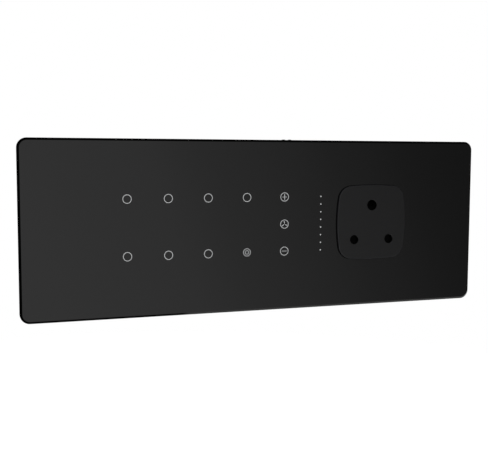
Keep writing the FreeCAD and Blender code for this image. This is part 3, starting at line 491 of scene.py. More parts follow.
# Every finish of the panel, most of them under the record's slot that they belong to. Each has its
# name, two tones, roughness, and the width and depth of its grain in millimetres.
PALETTE: dict[str, Finish] = {
    # Tempered float glass printed on its back: the face mirrors the studio softly in black
    "black_glass": PrintedGlass("black_printed_float_glass", "#060606", "#030303", 0.035, 60.0, 0.004),
    # Acrylic foam tape: dull dark edge line between glass and tray
    "foam_tape": CellFoam("acrylic_foam_tape", "#101011", "#1A1A1B", 0.9, 0.25, 0.03),
    # ABS, spark-eroded: soft black that stays darker than the glass
    "frame_plastic": MouldedPlastic("black_abs_spark_eroded", "#0A0A0B", "#0D0D0E", 0.5, 0.5, 0.012),
    # Polycarbonate, satin mould: the socket's rounded face, a little paler than the glass, its rim duller and
    # painted paler as a highlight, its holes painted dark as shade
    "socket_plastic": SocketMoulding("black_polycarbonate_satin", "#080809", "#0B0B0C", 0.34, 0.45, 0.006),
    # Glass-epoxy board with green solder mask: tracks glint under the mask
    "circuit_board": SolderMask("green_solder_mask_board", "#0F4A2C", "#1C6B40", 0.34, 0.3, 0.02),
    # Same board in matt black mask for the lit front
    "touch_circuit_board": SolderMask("black_solder_mask_board", "#101213", "#1D2123", 0.42, 0.3, 0.02),
    # Carbon-loaded polyurethane foam: grey open cells
    "conductive_foam": CellFoam("carbon_loaded_foam", "#1E1E20", "#3A3A3C", 0.95, 0.35, 0.05),
    # Moulded epoxy of the diodes: milky pale yellow
    "led_plastic": CastEpoxy("milky_diode_epoxy", "#E9E4CF", "#DDD5B8", 0.2, 0.3, 0.002),
    # Glass-filled nylon of connectors and light guide: dense satin black
    "black_plastic": MouldedPlastic("black_filled_nylon", "#111112", "#161617", 0.48, 0.4, 0.008),
    # Transfer-moulded epoxy of the chips: charcoal with fine filler
    "chip_epoxy": MouldedPlastic("transfer_moulded_epoxy", "#1B1B1C", "#232324", 0.55, 0.2, 0.006),
    # Tinned steel sheet: grey metal with rolling lines
    "tinned_steel": PlatedMetal("tinned_steel_sheet", "#C9C9C5", "#B6B6B2", 0.32, 0.4, 0.003,
                                (6.0, 1.0, 1.0)),
    # Gold flash on brass pins: warm and bright, drawn lengthwise
    "gold_brass": PlatedMetal("gold_flashed_brass", "#E6BF6A", "#D8AE55", 0.2, 0.2, 0.001, (1.0, 0.2, 1.0)),
    # Zinc plated, blue passivated steel screws: cool grey with a faint cloud
    "zinc_steel": PlatedMetal("zinc_plated_steel", "#C3C8CC", "#A9B0B6", 0.3, 0.25, 0.002),
    # Glass-filled polyamide plate: dark grey, faintly clouded; grain drawn coarser than real, to show
    "grey_plastic": FibreFilled("glass_filled_polyamide", "#57595B", "#4A4C4E", 0.58, 1.2, 0.06),
    # Stainless strip and wire: cold rolled lines
    "spring_steel": PlatedMetal("cold_rolled_stainless", "#B9BABA", "#A3A4A5", 0.28, 0.3, 0.002,
                                (1.0, 6.0, 6.0)),
    # Flame-retardant PC-ABS case: charcoal, eroded grain drawn coarser than real, to show
    "case_plastic": MouldedPlastic("charcoal_pc_abs", "#2A2B2D", "#333436", 0.56, 1.6, 0.12),
    # Blue PBT relay covers: moulded gloss
    "relay_plastic": MouldedPlastic("blue_pbt_cover", "#1F4F9C", "#1A4388", 0.3, 0.5, 0.004),
    # Epoxy-filled box capacitors: ochre gloss
    "capacitor_box": CastEpoxy("ochre_capacitor_box", "#C88F1E", "#B98117", 0.28, 0.5, 0.003),
    # Shrink sleeve of the round capacitor: tight dark gloss
    "capacitor_sleeve": CastEpoxy("black_shrink_sleeve", "#15161C", "#1C1D25", 0.3, 0.8, 0.01),
    # Dipped varistor coat: blue gloss with an orange peel
    "varistor_coat": CastEpoxy("blue_dipped_epoxy", "#1B4E86", "#164070", 0.25, 1.2, 0.03),
    # Fuse body: brown moulded thermoplastic
    "fuse_plastic": MouldedPlastic("brown_fuse_cover", "#3A2418", "#2E1C12", 0.3, 0.4, 0.004),
    # Polyamide terminal strip: green moulding with sharp edges
    "terminal_plastic": MouldedPlastic("green_polyamide", "#2E7D46", "#276C3C", 0.42, 0.4, 0.006),
    # Nickel plated brass cages: yellowish grey metal
    "nickel_brass": PlatedMetal("nickel_plated_brass", "#CFC9B8", "#BDB6A4", 0.26, 0.3, 0.002,
                                (1.0, 1.0, 5.0)),
    # Acetal shutter deep behind the holes: dead matt black, so that the holes read as empty
    "shutter_plastic": DeadMatt("matt_black_acetal", "#050505", "#070707", 0.9, 0.5, 0.004),
    # Phenolic moulding of the contact block: dense brownish black with a dull gloss
    "phenolic_plastic": MouldedPlastic("black_phenolic_moulding", "#0E0D0C", "#141210", 0.42, 0.5, 0.006),
    # Turned brass of the contact sleeves: turning marks round the bore
    "sleeve_brass": PlatedMetal("turned_brass", "#C9A15A", "#B98F4A", 0.24, 0.2, 0.002, (1.0, 8.0, 1.0)),
    # Enamel of the marks on the glass: pale grey and matt against the gloss
    "enamel": EnamelPrint("grey_enamel_print", "#BDBEBF", "#B4B5B6", 0.55, 0.15, 0.002),
    # The same enamel in a thinner screen print, as on the minus: darker grey
    "thin_enamel": EnamelPrint("thin_grey_enamel_print", "#6E6F70", "#666768", 0.55, 0.15, 0.002),
    # Solder, still bright: smooth and round
    "solder": PlatedMetal("bright_solder", "#CFCFCB", "#B9B9B6", 0.2, 0.5, 0.002),
    # Ceramic bodies of the smallest parts: dull brown
    "ceramic": Finish("sintered_chip_ceramic", "#5A4632", "#3A3024", 0.6, 0.3, 0.004),
    # Copper of the aerial: warm dark metal
    "copper": PlatedMetal("masked_copper", "#8A5A3A", "#75492D", 0.35, 0.4, 0.002),
}


# Shapes

@dataclass(frozen=True)
class Extent:
    """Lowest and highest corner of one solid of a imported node, in metres."""

    low: Vector
    high: Vector

    @property
    def centre(self) -> Vector:
        """Middle of the box."""
        return (self.low + self.high) / 2

    @property
    def size(self) -> Vector:
        """Length of the box along each axis."""
        return self.high - self.low


def solids_of(node: str) -> list[Extent]:
    """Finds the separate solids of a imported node.

    Args:
        node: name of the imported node.

    Returns:
        One box for each solid, sorted by X and then by Z.
    """
    copy = bmesh.new()
    copy.from_mesh(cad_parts[node].data)
    bmesh.ops.remove_doubles(copy, verts=copy.verts, dist=1e-6)
    left, found = set(copy.verts), []
    while left:
        wave, points = [left.pop()], []
        while wave:
            vert = wave.pop()
            points.append(vert.co.copy())
            near = {edge.other_vert(vert) for edge in vert.link_edges} & left
            left -= near
            wave += near
        axes = list(zip(*points))
        found.append(Extent(Vector([min(a) for a in axes]), Vector([max(a) for a in axes])))
    copy.free()
    return sorted(found, key=lambda e: (round(e.centre.x, 5), round(e.centre.z, 5), round(e.centre.y, 5)))


def mm(x: float, y: float, z: float) -> Vector:
    """Point that is given in millimetres."""
    return Vector((x, y, z)) * MM


def object_of(name: str, form: Form, smooth: float | None = None) -> Piece:
    """Makes an object of a mesh in work and frees it.

    Args:
        name: the object's name.
        form: mesh in work.
        smooth: largest angle in degrees that still looks rounded, or None for flat faces.

    Returns:
        The linked object.
    """
    bmesh.ops.remove_doubles(form, verts=form.verts, dist=1e-7)
    bmesh.ops.recalc_face_normals(form, faces=form.faces)
    if smooth is not None:
        for face in form.faces:
            face.smooth = True
        for edge in form.edges:
            edge.smooth = edge.is_manifold and edge.calc_face_angle(0.0) < math.radians(smooth)
    mesh = bpy.data.meshes.new(name)
    form.to_mesh(mesh)
    form.free()
    return linked(name, mesh)


def linked(name: str, data: bpy.types.ID) -> Piece:
    """Puts an object in the scene.

    Args:
        name: the object's name.
        data: its mesh, lamp or camera.

    Returns:
        The object.
    """
    made = bpy.data.objects.new(name, data)
    bpy.context.scene.collection.objects.link(made)
    return made


def loft(form: Form, near: list[Vector], far: list[Vector]) -> None:
    """Adds a closed body between two outlines.

    Args:
        form: mesh in work.
        near: corners of one end.
        far: as many corners of the other end.
    """
    near, far = [[form.verts.new(p) for p in ring] for ring in (near, far)]
    form.faces.new(near)
    form.faces.new(far[::-1])
    for i in range(len(near)):
        form.faces.new((near[i], near[i - 1], far[i - 1], far[i]))


def bar(form: Form, low: Vector, high: Vector, bevel: float = 0.0) -> None:
    """Adds a box with bevelled edges between two corners.

    Args:
        form: mesh in work.
        low: lowest corner.
        high: highest corner.
        bevel: width of the bevel, in millimetres.
    """
    matrix = Matrix.Translation((high + low) / 2) @ Matrix.Diagonal((*(high - low), 1.0))
    verts = bmesh.ops.create_cube(form, size=1.0, matrix=matrix)["verts"]
    if bevel:
        edges = list({e for v in verts for e in v.link_edges})
        bmesh.ops.bevel(form, geom=edges, offset=bevel * MM, segments=1, affect="EDGES")


def turned(form: Form, profile: list[Point], steps: int) -> None:
    """Revolves a profile about the Y axis.

    Args:
        form: mesh in work.
        profile: radius and depth of each point in millimetres, ends on the axis.
        steps: number of sides.
    """
    angles = [2 * math.pi * i / steps for i in range(steps)]
    rings = []
    for radius, depth in profile:
        around = angles if radius else angles[:1]
        rings.append([form.verts.new(mm(radius * math.cos(a), depth, radius * math.sin(a))) for a in around])
    for low, high in zip(rings, rings[1:]):
        for i in range(steps):
            j = (i + 1) % steps
            corners = [low[i % len(low)], low[j % len(low)], high[j % len(high)], high[i % len(high)]]
            corners = list(dict.fromkeys(corners))
            if len(corners) > 2:
                form.faces.new(corners)


def evaluated(name: str, made: Piece) -> Piece:
    """Turns an object with modifiers into a plain mesh object and removes the source.

    Args:
        name: name of the plain object.
        made: object with modifiers.

    Returns:
        The plain object.
    """
    bpy.context.view_layer.update()
    graph = bpy.context.evaluated_depsgraph_get()
    mesh = bpy.data.meshes.new_from_object(made.evaluated_get(graph))
    bpy.data.objects.remove(made)
    return linked(name, mesh)


# Trees that repeat a shape

def begun_tree(name: str, inputs: dict[str, tuple[str, object]]) -> tuple[Tree, dict[str, Out]]:
    """Starts a Geometry Nodes tree that takes points, named inputs and a finish.

    Args:
        name: name of the tree.
        inputs: type and default value of each input.

    Returns:
        The tree, and the socket of each input.
    """
    tree = bpy.data.node_groups.new(name, "GeometryNodeTree")
    wanted = {"Points": ("Geometry", None), **inputs, "Finish": ("Material", None)}
    for label, (kind, value) in wanted.items():
        socket = tree.interface.new_socket(label, in_out="INPUT", socket_type="NodeSocket" + kind)
        if value is not None:
            socket.default_value = value
    tree.interface.new_socket("Shape", in_out="OUTPUT", socket_type="NodeSocketGeometry")
    return tree, {out.name: out for out in add_node(tree, "NodeGroupInput").outputs}


def ended_tree(tree: Tree, given: dict[str, Out], shape: Out, turn: Out | tuple = (0.0, 0.0, 0.0)) -> Tree:
    """Ends a tree: the shape on each point, Realize Instances and Set Material.

    Args:
        tree: the tree.
        given: the socket of each input.
        shape: shape round the origin.
        turn: angles by which each copy is turned.

    Returns:
        The tree.
    """
    copies = add_node(tree, "GeometryNodeInstanceOnPoints", {
        "Points": given["Points"], "Instance": shape, "Rotation": turn})
    real = add_node(tree, "GeometryNodeRealizeInstances", {"Geometry": copies.outputs["Instances"]})
    dressed = add_node(tree, "GeometryNodeSetMaterial", {
        "Geometry": real.outputs["Geometry"], "Material": given["Finish"]})
    add_node(tree, "NodeGroupOutput", {0: dressed.outputs["Geometry"]})
    return tree


def repeat_tree() -> Tree:
    """Builds the tree that sets one shape on each point.

    Returns:
        The tree, which turns each copy about Y by the point's own angle and a seeded one.
    """
    tree, given = begun_tree("shape_on_each_point", {
        "Shape source": ("Object", None), "Random turn": ("Float", 0.0), "Seed": ("Int", 1)})
    source = add_node(tree, "GeometryNodeObjectInfo", {"Object": given["Shape source"]})
    # Inputs 2 and 3 and output 1 are the least, the most and the result of the node's plain numbers
    spread = add_node(tree, "FunctionNodeRandomValue", {
        2: 0.0, 3: given["Random turn"], "Seed": given["Seed"]}, data_type="FLOAT")
    own = add_node(tree, "GeometryNodeInputNamedAttribute", {"Name": "turn"}, data_type="FLOAT")
    total = add_node(tree, "ShaderNodeMath", {0: spread.outputs[1], 1: own.outputs[0]}, operation="ADD")
    turn = add_node(tree, "ShaderNodeCombineXYZ", {"Y": total.outputs[0]})
    return ended_tree(tree, given, source.outputs["Geometry"], turn.outputs["Vector"])


def ring_tree() -> Tree:
    """Builds the tree that draws a flat printed ring round each point.

    Returns:
        The tree, whose rings face along Y.
    """
    tree, given = begun_tree("printed_ring_on_each_point", {
        "Outer radius": ("Float", 0.00275), "Stroke": ("Float", 0.0006), "Proud": ("Float", 0.00004)})
    half = add_node(tree, "ShaderNodeMath", {0: given["Stroke"], 1: 0.5}, operation="MULTIPLY")
    middle = add_node(tree, "ShaderNodeMath", {0: given["Outer radius"], 1: half.outputs[0]},
                      operation="SUBTRACT")
    line = add_node(tree, "GeometryNodeCurvePrimitiveCircle", {"Resolution": 72, "Radius": middle.outputs[0]})
    section = add_node(tree, "GeometryNodeCurvePrimitiveQuadrilateral", {
        "Width": given["Stroke"], "Height": given["Proud"]})
    band = add_node(tree, "GeometryNodeCurveToMesh", {
        "Curve": line.outputs["Curve"], "Profile Curve": section.outputs["Curve"]})
    upright = add_node(tree, "GeometryNodeTransform", {
        "Geometry": band.outputs["Mesh"], "Rotation": (QUARTER, 0.0, 0.0)})
    return ended_tree(tree, given, upright.outputs["Geometry"])


def coil_tree() -> Tree:
    """Builds the tree that winds a wire into a coil at each point.

    Returns:
        The tree, whose coils stand along Z and have closed flat ends.
    """
    tree, given = begun_tree("coil_on_each_point", {
        "Turns": ("Float", 8.0), "Radius": ("Float", 0.00125), "Height": ("Float", 0.0134),
        "Wire": ("Float", 0.0002)})
    helix = add_node(tree, "GeometryNodeCurveSpiral", {
        "Resolution": 40, "Rotations": given["Turns"], "Start Radius": given["Radius"],
        "End Radius": given["Radius"], "Height": given["Height"]})
    wire = add_node(tree, "GeometryNodeCurvePrimitiveCircle", {"Resolution": 10, "Radius": given["Wire"]})
    coil = add_node(tree, "GeometryNodeCurveToMesh", {
        "Curve": helix.outputs["Curve"], "Profile Curve": wire.outputs["Curve"], "Fill Caps": True})
    return ended_tree(tree, given, coil.outputs["Mesh"])


def grown(name: str, tree: Tree, places: list[Vector], values: dict[str, object],
          turns: list[float] | None = None) -> Piece:
    """Runs a Geometry Nodes tree on points and keeps the result as a plain mesh.

    Args:
        name: name of the piece.
        tree: tree to run.
        places: the points.
        values: value of each named input.
        turns: angle of each point about Y.

    Returns:
        The plain piece.
    """
    mesh = bpy.data.meshes.new(name + "_points")
    mesh.from_pydata([tuple(p) for p in places], [], [])
    angle = mesh.attributes.new("turn", "FLOAT", "POINT")
    for item, value in zip(angle.data, turns or [0.0] * len(places)):
        item.value = value
    carrier = linked(name + "_points", mesh)
    modifier = carrier.modifiers.new("grow", "NODES")
    modifier.node_group = tree
    keys = {item.name: item.identifier for item in tree.interface.items_tree if item.in_out == "INPUT"}
    for label, value in values.items():
        modifier[keys[label]] = value
    return evaluated(name, carrier)


# Screws

class Drive(Enum):
    """Recess in a screw head: a cross, or a cross with a slot right through the head."""

    CROSS = "cross"
    COMBINED = "combined"


class Head(Enum):
    """Form of a screw head."""

    PAN = "pan"
    FLAT = "flat"
    CHEESE = "cheese"


@dataclass(frozen=True)
class Screw:
    """A small screw along Y, its head at the low end and its thread towards +Y."""

    head: Head
    drive: Drive
    head_r: float
    head_h: float
    core_r: float
    length: float
    pitch: float
    neck: ClassVar[float] = 0.3
    tip: ClassVar[float] = 0.25

    def profile(self) -> list[Point]:
        """Follows half the outline of the screw.

        Returns:
            Radius and depth of each point from the top of the head to the tip, the seat at depth 0.
        """
        r, h, core, pitch = self.head_r, self.head_h, self.core_r, self.pitch
        root, start = core * 0.84, 0.0
        if self.head is Head.FLAT:
            points = [(0.0, 0.0), (r - 0.08, 0.0), (r, 0.08)]
            start = r - core
        elif self.head is Head.PAN:
            points = [(0.0, -h), (r * 0.5, -h), (r * 0.78, -h * 0.9), (r * 0.95, -h * 0.62), (r, -h * 0.3),
                      (r, 0.0)]
        else:
            points = [(0.0, -h), (r - 0.15, -h), (r, -h + 0.15), (r, 0.0)]
        depth = start + self.neck
        points += [(core, start), (core, depth)]
        while depth + pitch < self.length - 0.4:
            points += [(root, depth + pitch * 0.4), (root, depth + pitch * 0.55), (core, depth + pitch)]
            depth += pitch
        return points + [(root, self.length - self.tip), (root * 0.7, self.length), (0.0, self.length)]

    def cutter(self) -> Piece:
        """Makes the wedges that leave the recess in the head.

        Returns:
            Two wedges that cross on the axis.
        """
        flat, cross = self.head is Head.FLAT, self.drive is Drive.CROSS
        top = 0.0 if flat else -self.head_h
        deep = self.head_r * 0.4 if flat else self.head_h * 0.55
        short, half = self.head_r * 0.62, self.head_r * 0.11
        # Reach, depth and share of the reach at the bottom, for the first wedge and the one across it
        first = (short, deep, 0.45) if cross else (self.head_r * 1.1, deep, 1.0)
        form = bmesh.new()
        for across, (reach, low, share) in enumerate((first, (short, deep * 1.1, 0.45))):
            rings = []
            for y, x, z in ((top - 0.2, reach, half * 1.15), (top + low, reach * share, half * 0.8)):
                ring = [(x, z), (x, -z), (-x, -z), (-x, z)]
                rings.append([mm(b, y, -a) if across else mm(a, y, b) for a, b in ring])
            loft(form, *rings)
        return object_of("recess_cutter", form)

    def shape(self) -> Piece:
        """Turns the screw and cuts its recess.

        Returns:
            The screw at the origin, its seat at depth 0.
        """
        form = bmesh.new()
        turned(form, self.profile(), 28)
        blank = object_of("screw_blank", form, 35.0)
        cutter = self.cutter()
        cut = blank.modifiers.new("recess", "BOOLEAN")
        cut.operation, cut.solver, cut.use_self, cut.object = "DIFFERENCE", "EXACT", True, cutter
        screw = evaluated("screw", blank)
        bpy.data.objects.remove(cutter)
        return screw


# Sub-assemblies

class Workshop:
    """Finishes and trees that every sub-assembly shares, and the ways that a piece joins the panel."""

    def __init__(self) -> None:
        """Builds each material and each tree once."""
        self.made = {slot: finish.material() for slot, finish in PALETTE.items()}
        self.repeat, self.ring, self.coil = repeat_tree(), ring_tree(), coil_tree()

    def dress(self, slot: str, *nodes: str) -> None:
        """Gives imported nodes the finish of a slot.

        Args:
            slot: the record's slot.
            *nodes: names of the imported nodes.
        """
        for node in nodes:
            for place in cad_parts[node].material_slots:
                place.material = self.made[slot]
            log.info("%s: dressed as %s", node, slot)

    def place(self, piece: Piece, body: str, slot: str, finish: str = "", instead_of: str = "") -> None:
        """Finishes a piece and lets it ride on a body.

        Args:
            piece: plain mesh object at the origin.
            body: body that carries it.
            slot: the record's slot.
            finish: key of the finish, if it isn't the slot's.
            instead_of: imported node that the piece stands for.
        """
        piece.data.materials.clear()
        piece.data.materials.append(self.made[finish or slot])
        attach(piece, body)
        if instead_of:
            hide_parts(instead_of)
        log.info("%s: %d faces on %s", piece.name, len(piece.data.polygons), body)

    def copies(self, name: str, shape: Piece, places: list[Vector], body: str, slot: str, finish: str = "",
               turns: list[float] | None = None, random_turn: float = 0.0, seed: int = 1,
               instead_of: str = "") -> None:
        """Sets one shape on many points, as one piece that rides on a body.

        Args:
            name: name of the piece.
            shape: shape drawn round the origin, used up by the call.
            places: the points.
            body: body that carries them.
            slot: the record's slot.
            finish: key of the finish, if it isn't the slot's.
            turns: angle of each copy about Y.
            random_turn: largest random angle added.
            seed: seed of the random angle.
            instead_of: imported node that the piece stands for.
        """
        values = {"Shape source": shape, "Random turn": random_turn, "Seed": seed,
                  "Finish": self.made[finish or slot]}
        piece = grown(name, self.repeat, places, values, turns)
        bpy.data.objects.remove(shape)
        self.place(piece, body, slot, finish, instead_of)

    def screws(self, name: str, node: str, screw: Screw, body: str, seed: int, seat: float | None = None,
               rear: bool = True, most: float = QUARTER) -> None:
        """Sets screws with recess and thread in place of plain packed ones, each left at its own angle.

        Args:
            name: name of the piece.
            node: packed screws that it stands for.
            screw: the screw.
            body: body that carries them.
            seed: seed of the angles.
            seat: depth of the face under the heads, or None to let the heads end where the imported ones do.
            rear: whether the heads face the rear.
            most: largest angle.
        """
        shape = screw.shape()
        if rear:
            shape.data.transform(Matrix.Rotation(math.pi, 4, "Z"))
        places = [Vector((e.centre.x, e.high.y - screw.head_h * MM if seat is None else seat, e.centre.z))
                  for e in solids_of(node)]
        self.copies(name, shape, places, body, "zinc_steel", random_turn=most, seed=seed, instead_of=node)


@dataclass
class GlassFront:
    """Printed glass with its marks."""

    shop: Workshop
    ring_outer: float = 2.46
    ring_stroke: float = 0.35
    sign_outer: float = 2.54
    double_outer: float = 2.24
    inner_outer: float = 1.16
    inner_stroke: float = 0.31
    dot_r: float = 0.4
    proud: float = 0.04
    minus_half: float = 1.55
    minus_round: float = 0.42
    plus_tall: float = 1.68
    plus_wide: float = 1.35
    plus_upright: float = 0.17
    plus_level: float = 0.119
    blade_middle: float = 0.94
    blade_half: float = 0.9
    blade_width: float = 0.21
    blade_swell: float = 0.6
    blade_sweep: float = 0.1
    blade_root: float = 0.25
    dot_sides: int = 24
    end_sides: int = 8
    blade_sides: int = 28

    def build(self) -> None:
        """Dresses glass and tape and prints every mark."""
        self.shop.dress("black_glass", "glass_panel")
        self.shop.dress("foam_tape", "glass_tape")
        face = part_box("glass_panel")[0].y
        keys, dots = [[Vector((e.centre.x, face, e.centre.z)) for e in solids_of(node)]
                      for node in ("key_leds", "speed_leds")]
        *_, fourth, fifth = sorted({round(k.x, 5) for k in keys})
        last = [k for k in keys if round(k.x, 5) == fifth]
        double = min((k for k in keys if round(k.x, 5) == fourth), key=lambda k: k.z)
        plain = [k for k in keys if k not in last and k is not double]
        self.rings("key_rings", plain, self.ring_outer, self.ring_stroke)
        self.rings("sign_rings", last, self.sign_outer, self.ring_stroke)
        self.rings("double_ring_outer", [double], self.double_outer, self.inner_stroke)
        self.rings("double_ring_inner", [double], self.inner_outer, self.inner_stroke)
        minus, fan, plus = sorted(last, key=lambda k: k.z)
        self.sign("minus_sign", minus, [self.capsule()], "thin_enamel")
        self.sign("plus_sign", plus, [self.crossed()], "enamel")
        self.sign("fan_sign", fan, [self.blade(math.radians(turn)) for turn in (90, 210, 330)], "enamel")
        form, half = bmesh.new(), self.proud / 2
        turned(form, [(0.0, -half), (self.dot_r, -half), (self.dot_r, half), (0.0, half)], self.dot_sides)
        self.shop.copies("speed_dots", object_of("dot", form), dots, "front", "black_glass", "enamel")

    def rings(self, name: str, places: list[Vector], outer: float, stroke: float) -> None:
        """Prints rings of one size.

        Args:
            name: name of the piece.
            places: centres on the glass.
            outer: outer radius.
            stroke: width of the line.
        """
        piece = grown(name, self.shop.ring, places, {
            "Outer radius": outer * MM, "Stroke": stroke * MM, "Proud": self.proud * MM,
            "Finish": self.shop.made["enamel"]})
        self.shop.place(piece, "front", "black_glass", "enamel")

    def sign(self, name: str, centre: Vector, outlines: list[list[Point]], finish: str) -> None:
        """Prints a sign in a ring.

        Args:
            name: name of the piece.
            centre: middle of the ring on the glass.
            outlines: X and Z of the corners of each part, from the centre.
            finish: key of the finish.
        """
        form, half = bmesh.new(), self.proud / 2
        for outline in outlines:
            loft(form, *([centre + mm(x, y, z) for x, z in outline] for y in (-half, half)))
        self.shop.place(object_of(name, form), "front", "black_glass", finish)

    def capsule(self) -> list[Point]:
        """Draws the minus.

        Returns:
            Outline of a bar with round ends.
        """
        points, r = [], self.minus_round
        for side in (1, -1):
            for i in range(self.end_sides + 1):
                a = math.radians(-90 + 180 * i / self.end_sides)
                points.append((side * (self.minus_half - r + r * math.cos(a)), side * r * math.sin(a)))
        return points

    def crossed(self) -> list[Point]:
        """Draws the plus, a little taller than wide.

        Returns:
            Its outline, each quarter the mirror image of the one before.
        """
        corner = [(self.plus_wide, self.plus_level), (self.plus_upright, self.plus_level),
                  (self.plus_upright, self.plus_tall)]
        upper = corner + [(-x, z) for x, z in reversed(corner)]
        return upper + [(x, -z) for x, z in reversed(upper)]

    def blade(self, turn: float) -> list[Point]:
        """Draws one rounded, swept blade of the fan.

        Args:
            turn: direction in which it points.

        Returns:
            Its outline.
        """
        points = []
        for i in range(self.blade_sides):
            t = 2 * math.pi * i / self.blade_sides
            along = self.blade_middle + self.blade_half * math.cos(t)
            across = self.blade_width * math.sin(t) * (1 + self.blade_swell * math.cos(t))
            across += self.blade_sweep * (along - self.blade_root) ** 2
            points.append((along * math.cos(turn) - across * math.sin(turn),
                           along * math.sin(turn) + across * math.cos(turn)))
        return points


@dataclass
class TouchElectronics:
    """Touch board with its lights, chips, radio and header, in the tray behind the glass."""

    shop: Workshop
    screw: Screw = Screw(Head.PAN, Drive.CROSS, head_r=1.9, head_h=1.3, core_r=1.0, length=4.2, pitch=0.6)
    lead_pitch: float = 0.8
    lead_half: float = 0.12
    lead_thick: float = 0.12
    small_parts: int = 96
    seed: int = 7
    part_columns: tuple[int, int] = (-28, 13)
    part_rows: tuple[int, int] = (-8, 9)
    part_pitch: Point = (3.0, 2.6)
    part_inset: Point = (3.0, 4.0)
    part_gap: float = 1.6
    aerial_inset: float = 1.5
    aerial_top: float = 1.2
    aerial_tall: float = 4.5
    aerial_line: float = 0.5
    aerial_pitch: float = 1.1
    aerial_lap: float = 0.02
    pad_rows: int = 8
    pad_start: float = 2.0
    pad_pitch: float = 1.9

    def build(self) -> None:
        """Dresses the nodes and adds leads, small parts, aerial, pads and screws."""
        shop = self.shop
        shop.dress("frame_plastic", "front_frame")
        shop.dress("touch_circuit_board", "touch_board", "radio_board")
        shop.dress("conductive_foam", "touch_pads")
        shop.dress("led_plastic", "key_leds", "speed_leds")
        shop.dress("black_plastic", "light_guide", "pin_header")
        shop.dress("chip_epoxy", "board_chips")
        shop.dress("tinned_steel", "radio_shield")
        shop.dress("gold_brass", "header_pins")
        low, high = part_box("touch_board")
        self.leads(high.y)
        self.scatter(low, high)
        self.aerial()
        self.pads()
        shop.screws("touch_board_screws", "board_screws", self.screw, "front", 3, high.y)

    def leads(self, rear: float) -> None:
        """Adds gull-wing leads round each chip.

        Args:
            rear: depth of the board's rear face.
        """
        # Reach and height of the upper side: out of the chip, down, and along the board
        bends = [(-0.1, 0.55), (0.25, 0.55), (0.45, 0.12), (0.95, 0.1)]
        outline = bends + [(x, y - self.lead_thick) for x, y in reversed(bends)]
        form = bmesh.new()
        loft(form, *([mm(x, y, z) for x, y in outline] for z in (-self.lead_half, self.lead_half)))
        places, turns = [], []
        for chip in solids_of("board_chips"):
            for side in range(4):
                a = side * QUARTER
                along, across = (chip.size.x, chip.size.z) if side % 2 else (chip.size.z, chip.size.x)
                out, count = across / 2, int(along / MM / self.lead_pitch) - 1
                for i in range(count):
                    slide = (i - (count - 1) / 2) * self.lead_pitch * MM
                    places.append(Vector((chip.centre.x + out * math.cos(a) + slide * math.sin(a), rear,
                                          chip.centre.z - out * math.sin(a) + slide * math.cos(a))))
                    turns.append(a)
        self.shop.copies("chip_leads", object_of("lead", form), places, "front", "tinned_steel", "solder",
                         turns)

    def scatter(self, low: Vector, high: Vector) -> None:
        """Sets chip resistors and capacitors on the rear of the board, on a seeded choice of grid places.

        Args:
            low: lowest corner of the board.
            high: highest corner of the board.
        """
        large = ("board_chips", "radio_board", "pin_header", "board_screws")
        taken = [e for node in large for e in solids_of(node)]
        inset_x, inset_z, gap = self.part_inset[0] * MM, self.part_inset[1] * MM, self.part_gap * MM
        chance = random.Random(self.seed)
        spots, turns = [], []
        grid = [(i * self.part_pitch[0] * MM, j * self.part_pitch[1] * MM)
                for i in range(*self.part_columns) for j in range(*self.part_rows)]
        chance.shuffle(grid)
        for x, z in grid:
            inside = low.x + inset_x < x < high.x - inset_x and low.z + inset_z < z < high.z - inset_z
            clear = not any(e.low.x - gap < x < e.high.x + gap and e.low.z - gap < z < e.high.z + gap
                            for e in taken)
            if inside and clear and len(spots) < self.small_parts:
                spots.append(Vector((x, high.y, z)))
                turns.append(chance.choice((0.0, QUARTER)))
        # A chip part is 1.6 mm long: a body between two metal ends that stand a little proud of it
        body, ends = bmesh.new(), bmesh.new()
        bar(body, mm(-0.52, 0, -0.4), mm(0.52, 0.5, 0.4), 0.04)
        bar(ends, mm(-0.8, 0, -0.42), mm(-0.5, 0.54, 0.42), 0.06)
        bar(ends, mm(0.5, 0, -0.42), mm(0.8, 0.54, 0.42), 0.06)
        self.shop.copies("chip_part_bodies", object_of("chip_part", body), spots, "front", "chip_epoxy",
                         "ceramic", turns)
        self.shop.copies("chip_part_ends", object_of("chip_ends", ends), spots, "front", "tinned_steel",
                         "solder", turns)

    def aerial(self) -> None:
        """Adds the meander aerial at the top of the radio board."""
        low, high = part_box("radio_board")
        form = bmesh.new()
        start = Vector((low.x, high.y, high.z)) + mm(self.aerial_inset, 0, -self.aerial_top)
        count = int((high.x - low.x - 2 * self.aerial_inset * MM) / (self.aerial_pitch * MM))
        line, lap, tall = self.aerial_line, self.aerial_lap, self.aerial_tall
        # The links between the lines are sunk a little deeper, so that no two lower faces fall together
        for i in range(count):
            left = i * self.aerial_pitch
            bar(form, start + mm(left, -0.02, -tall), start + mm(left + line, 0.04, 0))
            if i < count - 1:
                foot = -tall if i % 2 else -line
                bar(form, start + mm(left + line - lap, -0.03, foot),
                    start + mm(left + self.aerial_pitch + lap, 0.04, foot + line))
        self.shop.place(object_of("radio_aerial", form), "front", "gold_brass", "copper")

    def pads(self) -> None:
        """Adds the solder pads along both sides of the radio board."""
        low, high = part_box("radio_board")
        form = bmesh.new()
        bar(form, mm(-0.4, -0.8, -0.5), mm(0.6, 0.05, 0.5), 0.1)
        places = [Vector((x, high.y, low.z + (self.pad_start + i * self.pad_pitch) * MM))
                  for x in (low.x, high.x) for i in range(self.pad_rows)]
        turns = [0.0] * self.pad_rows + [math.pi] * self.pad_rows
        self.shop.copies("radio_pads", object_of("pad", form), places, "front", "tinned_steel", "solder",
                         turns)


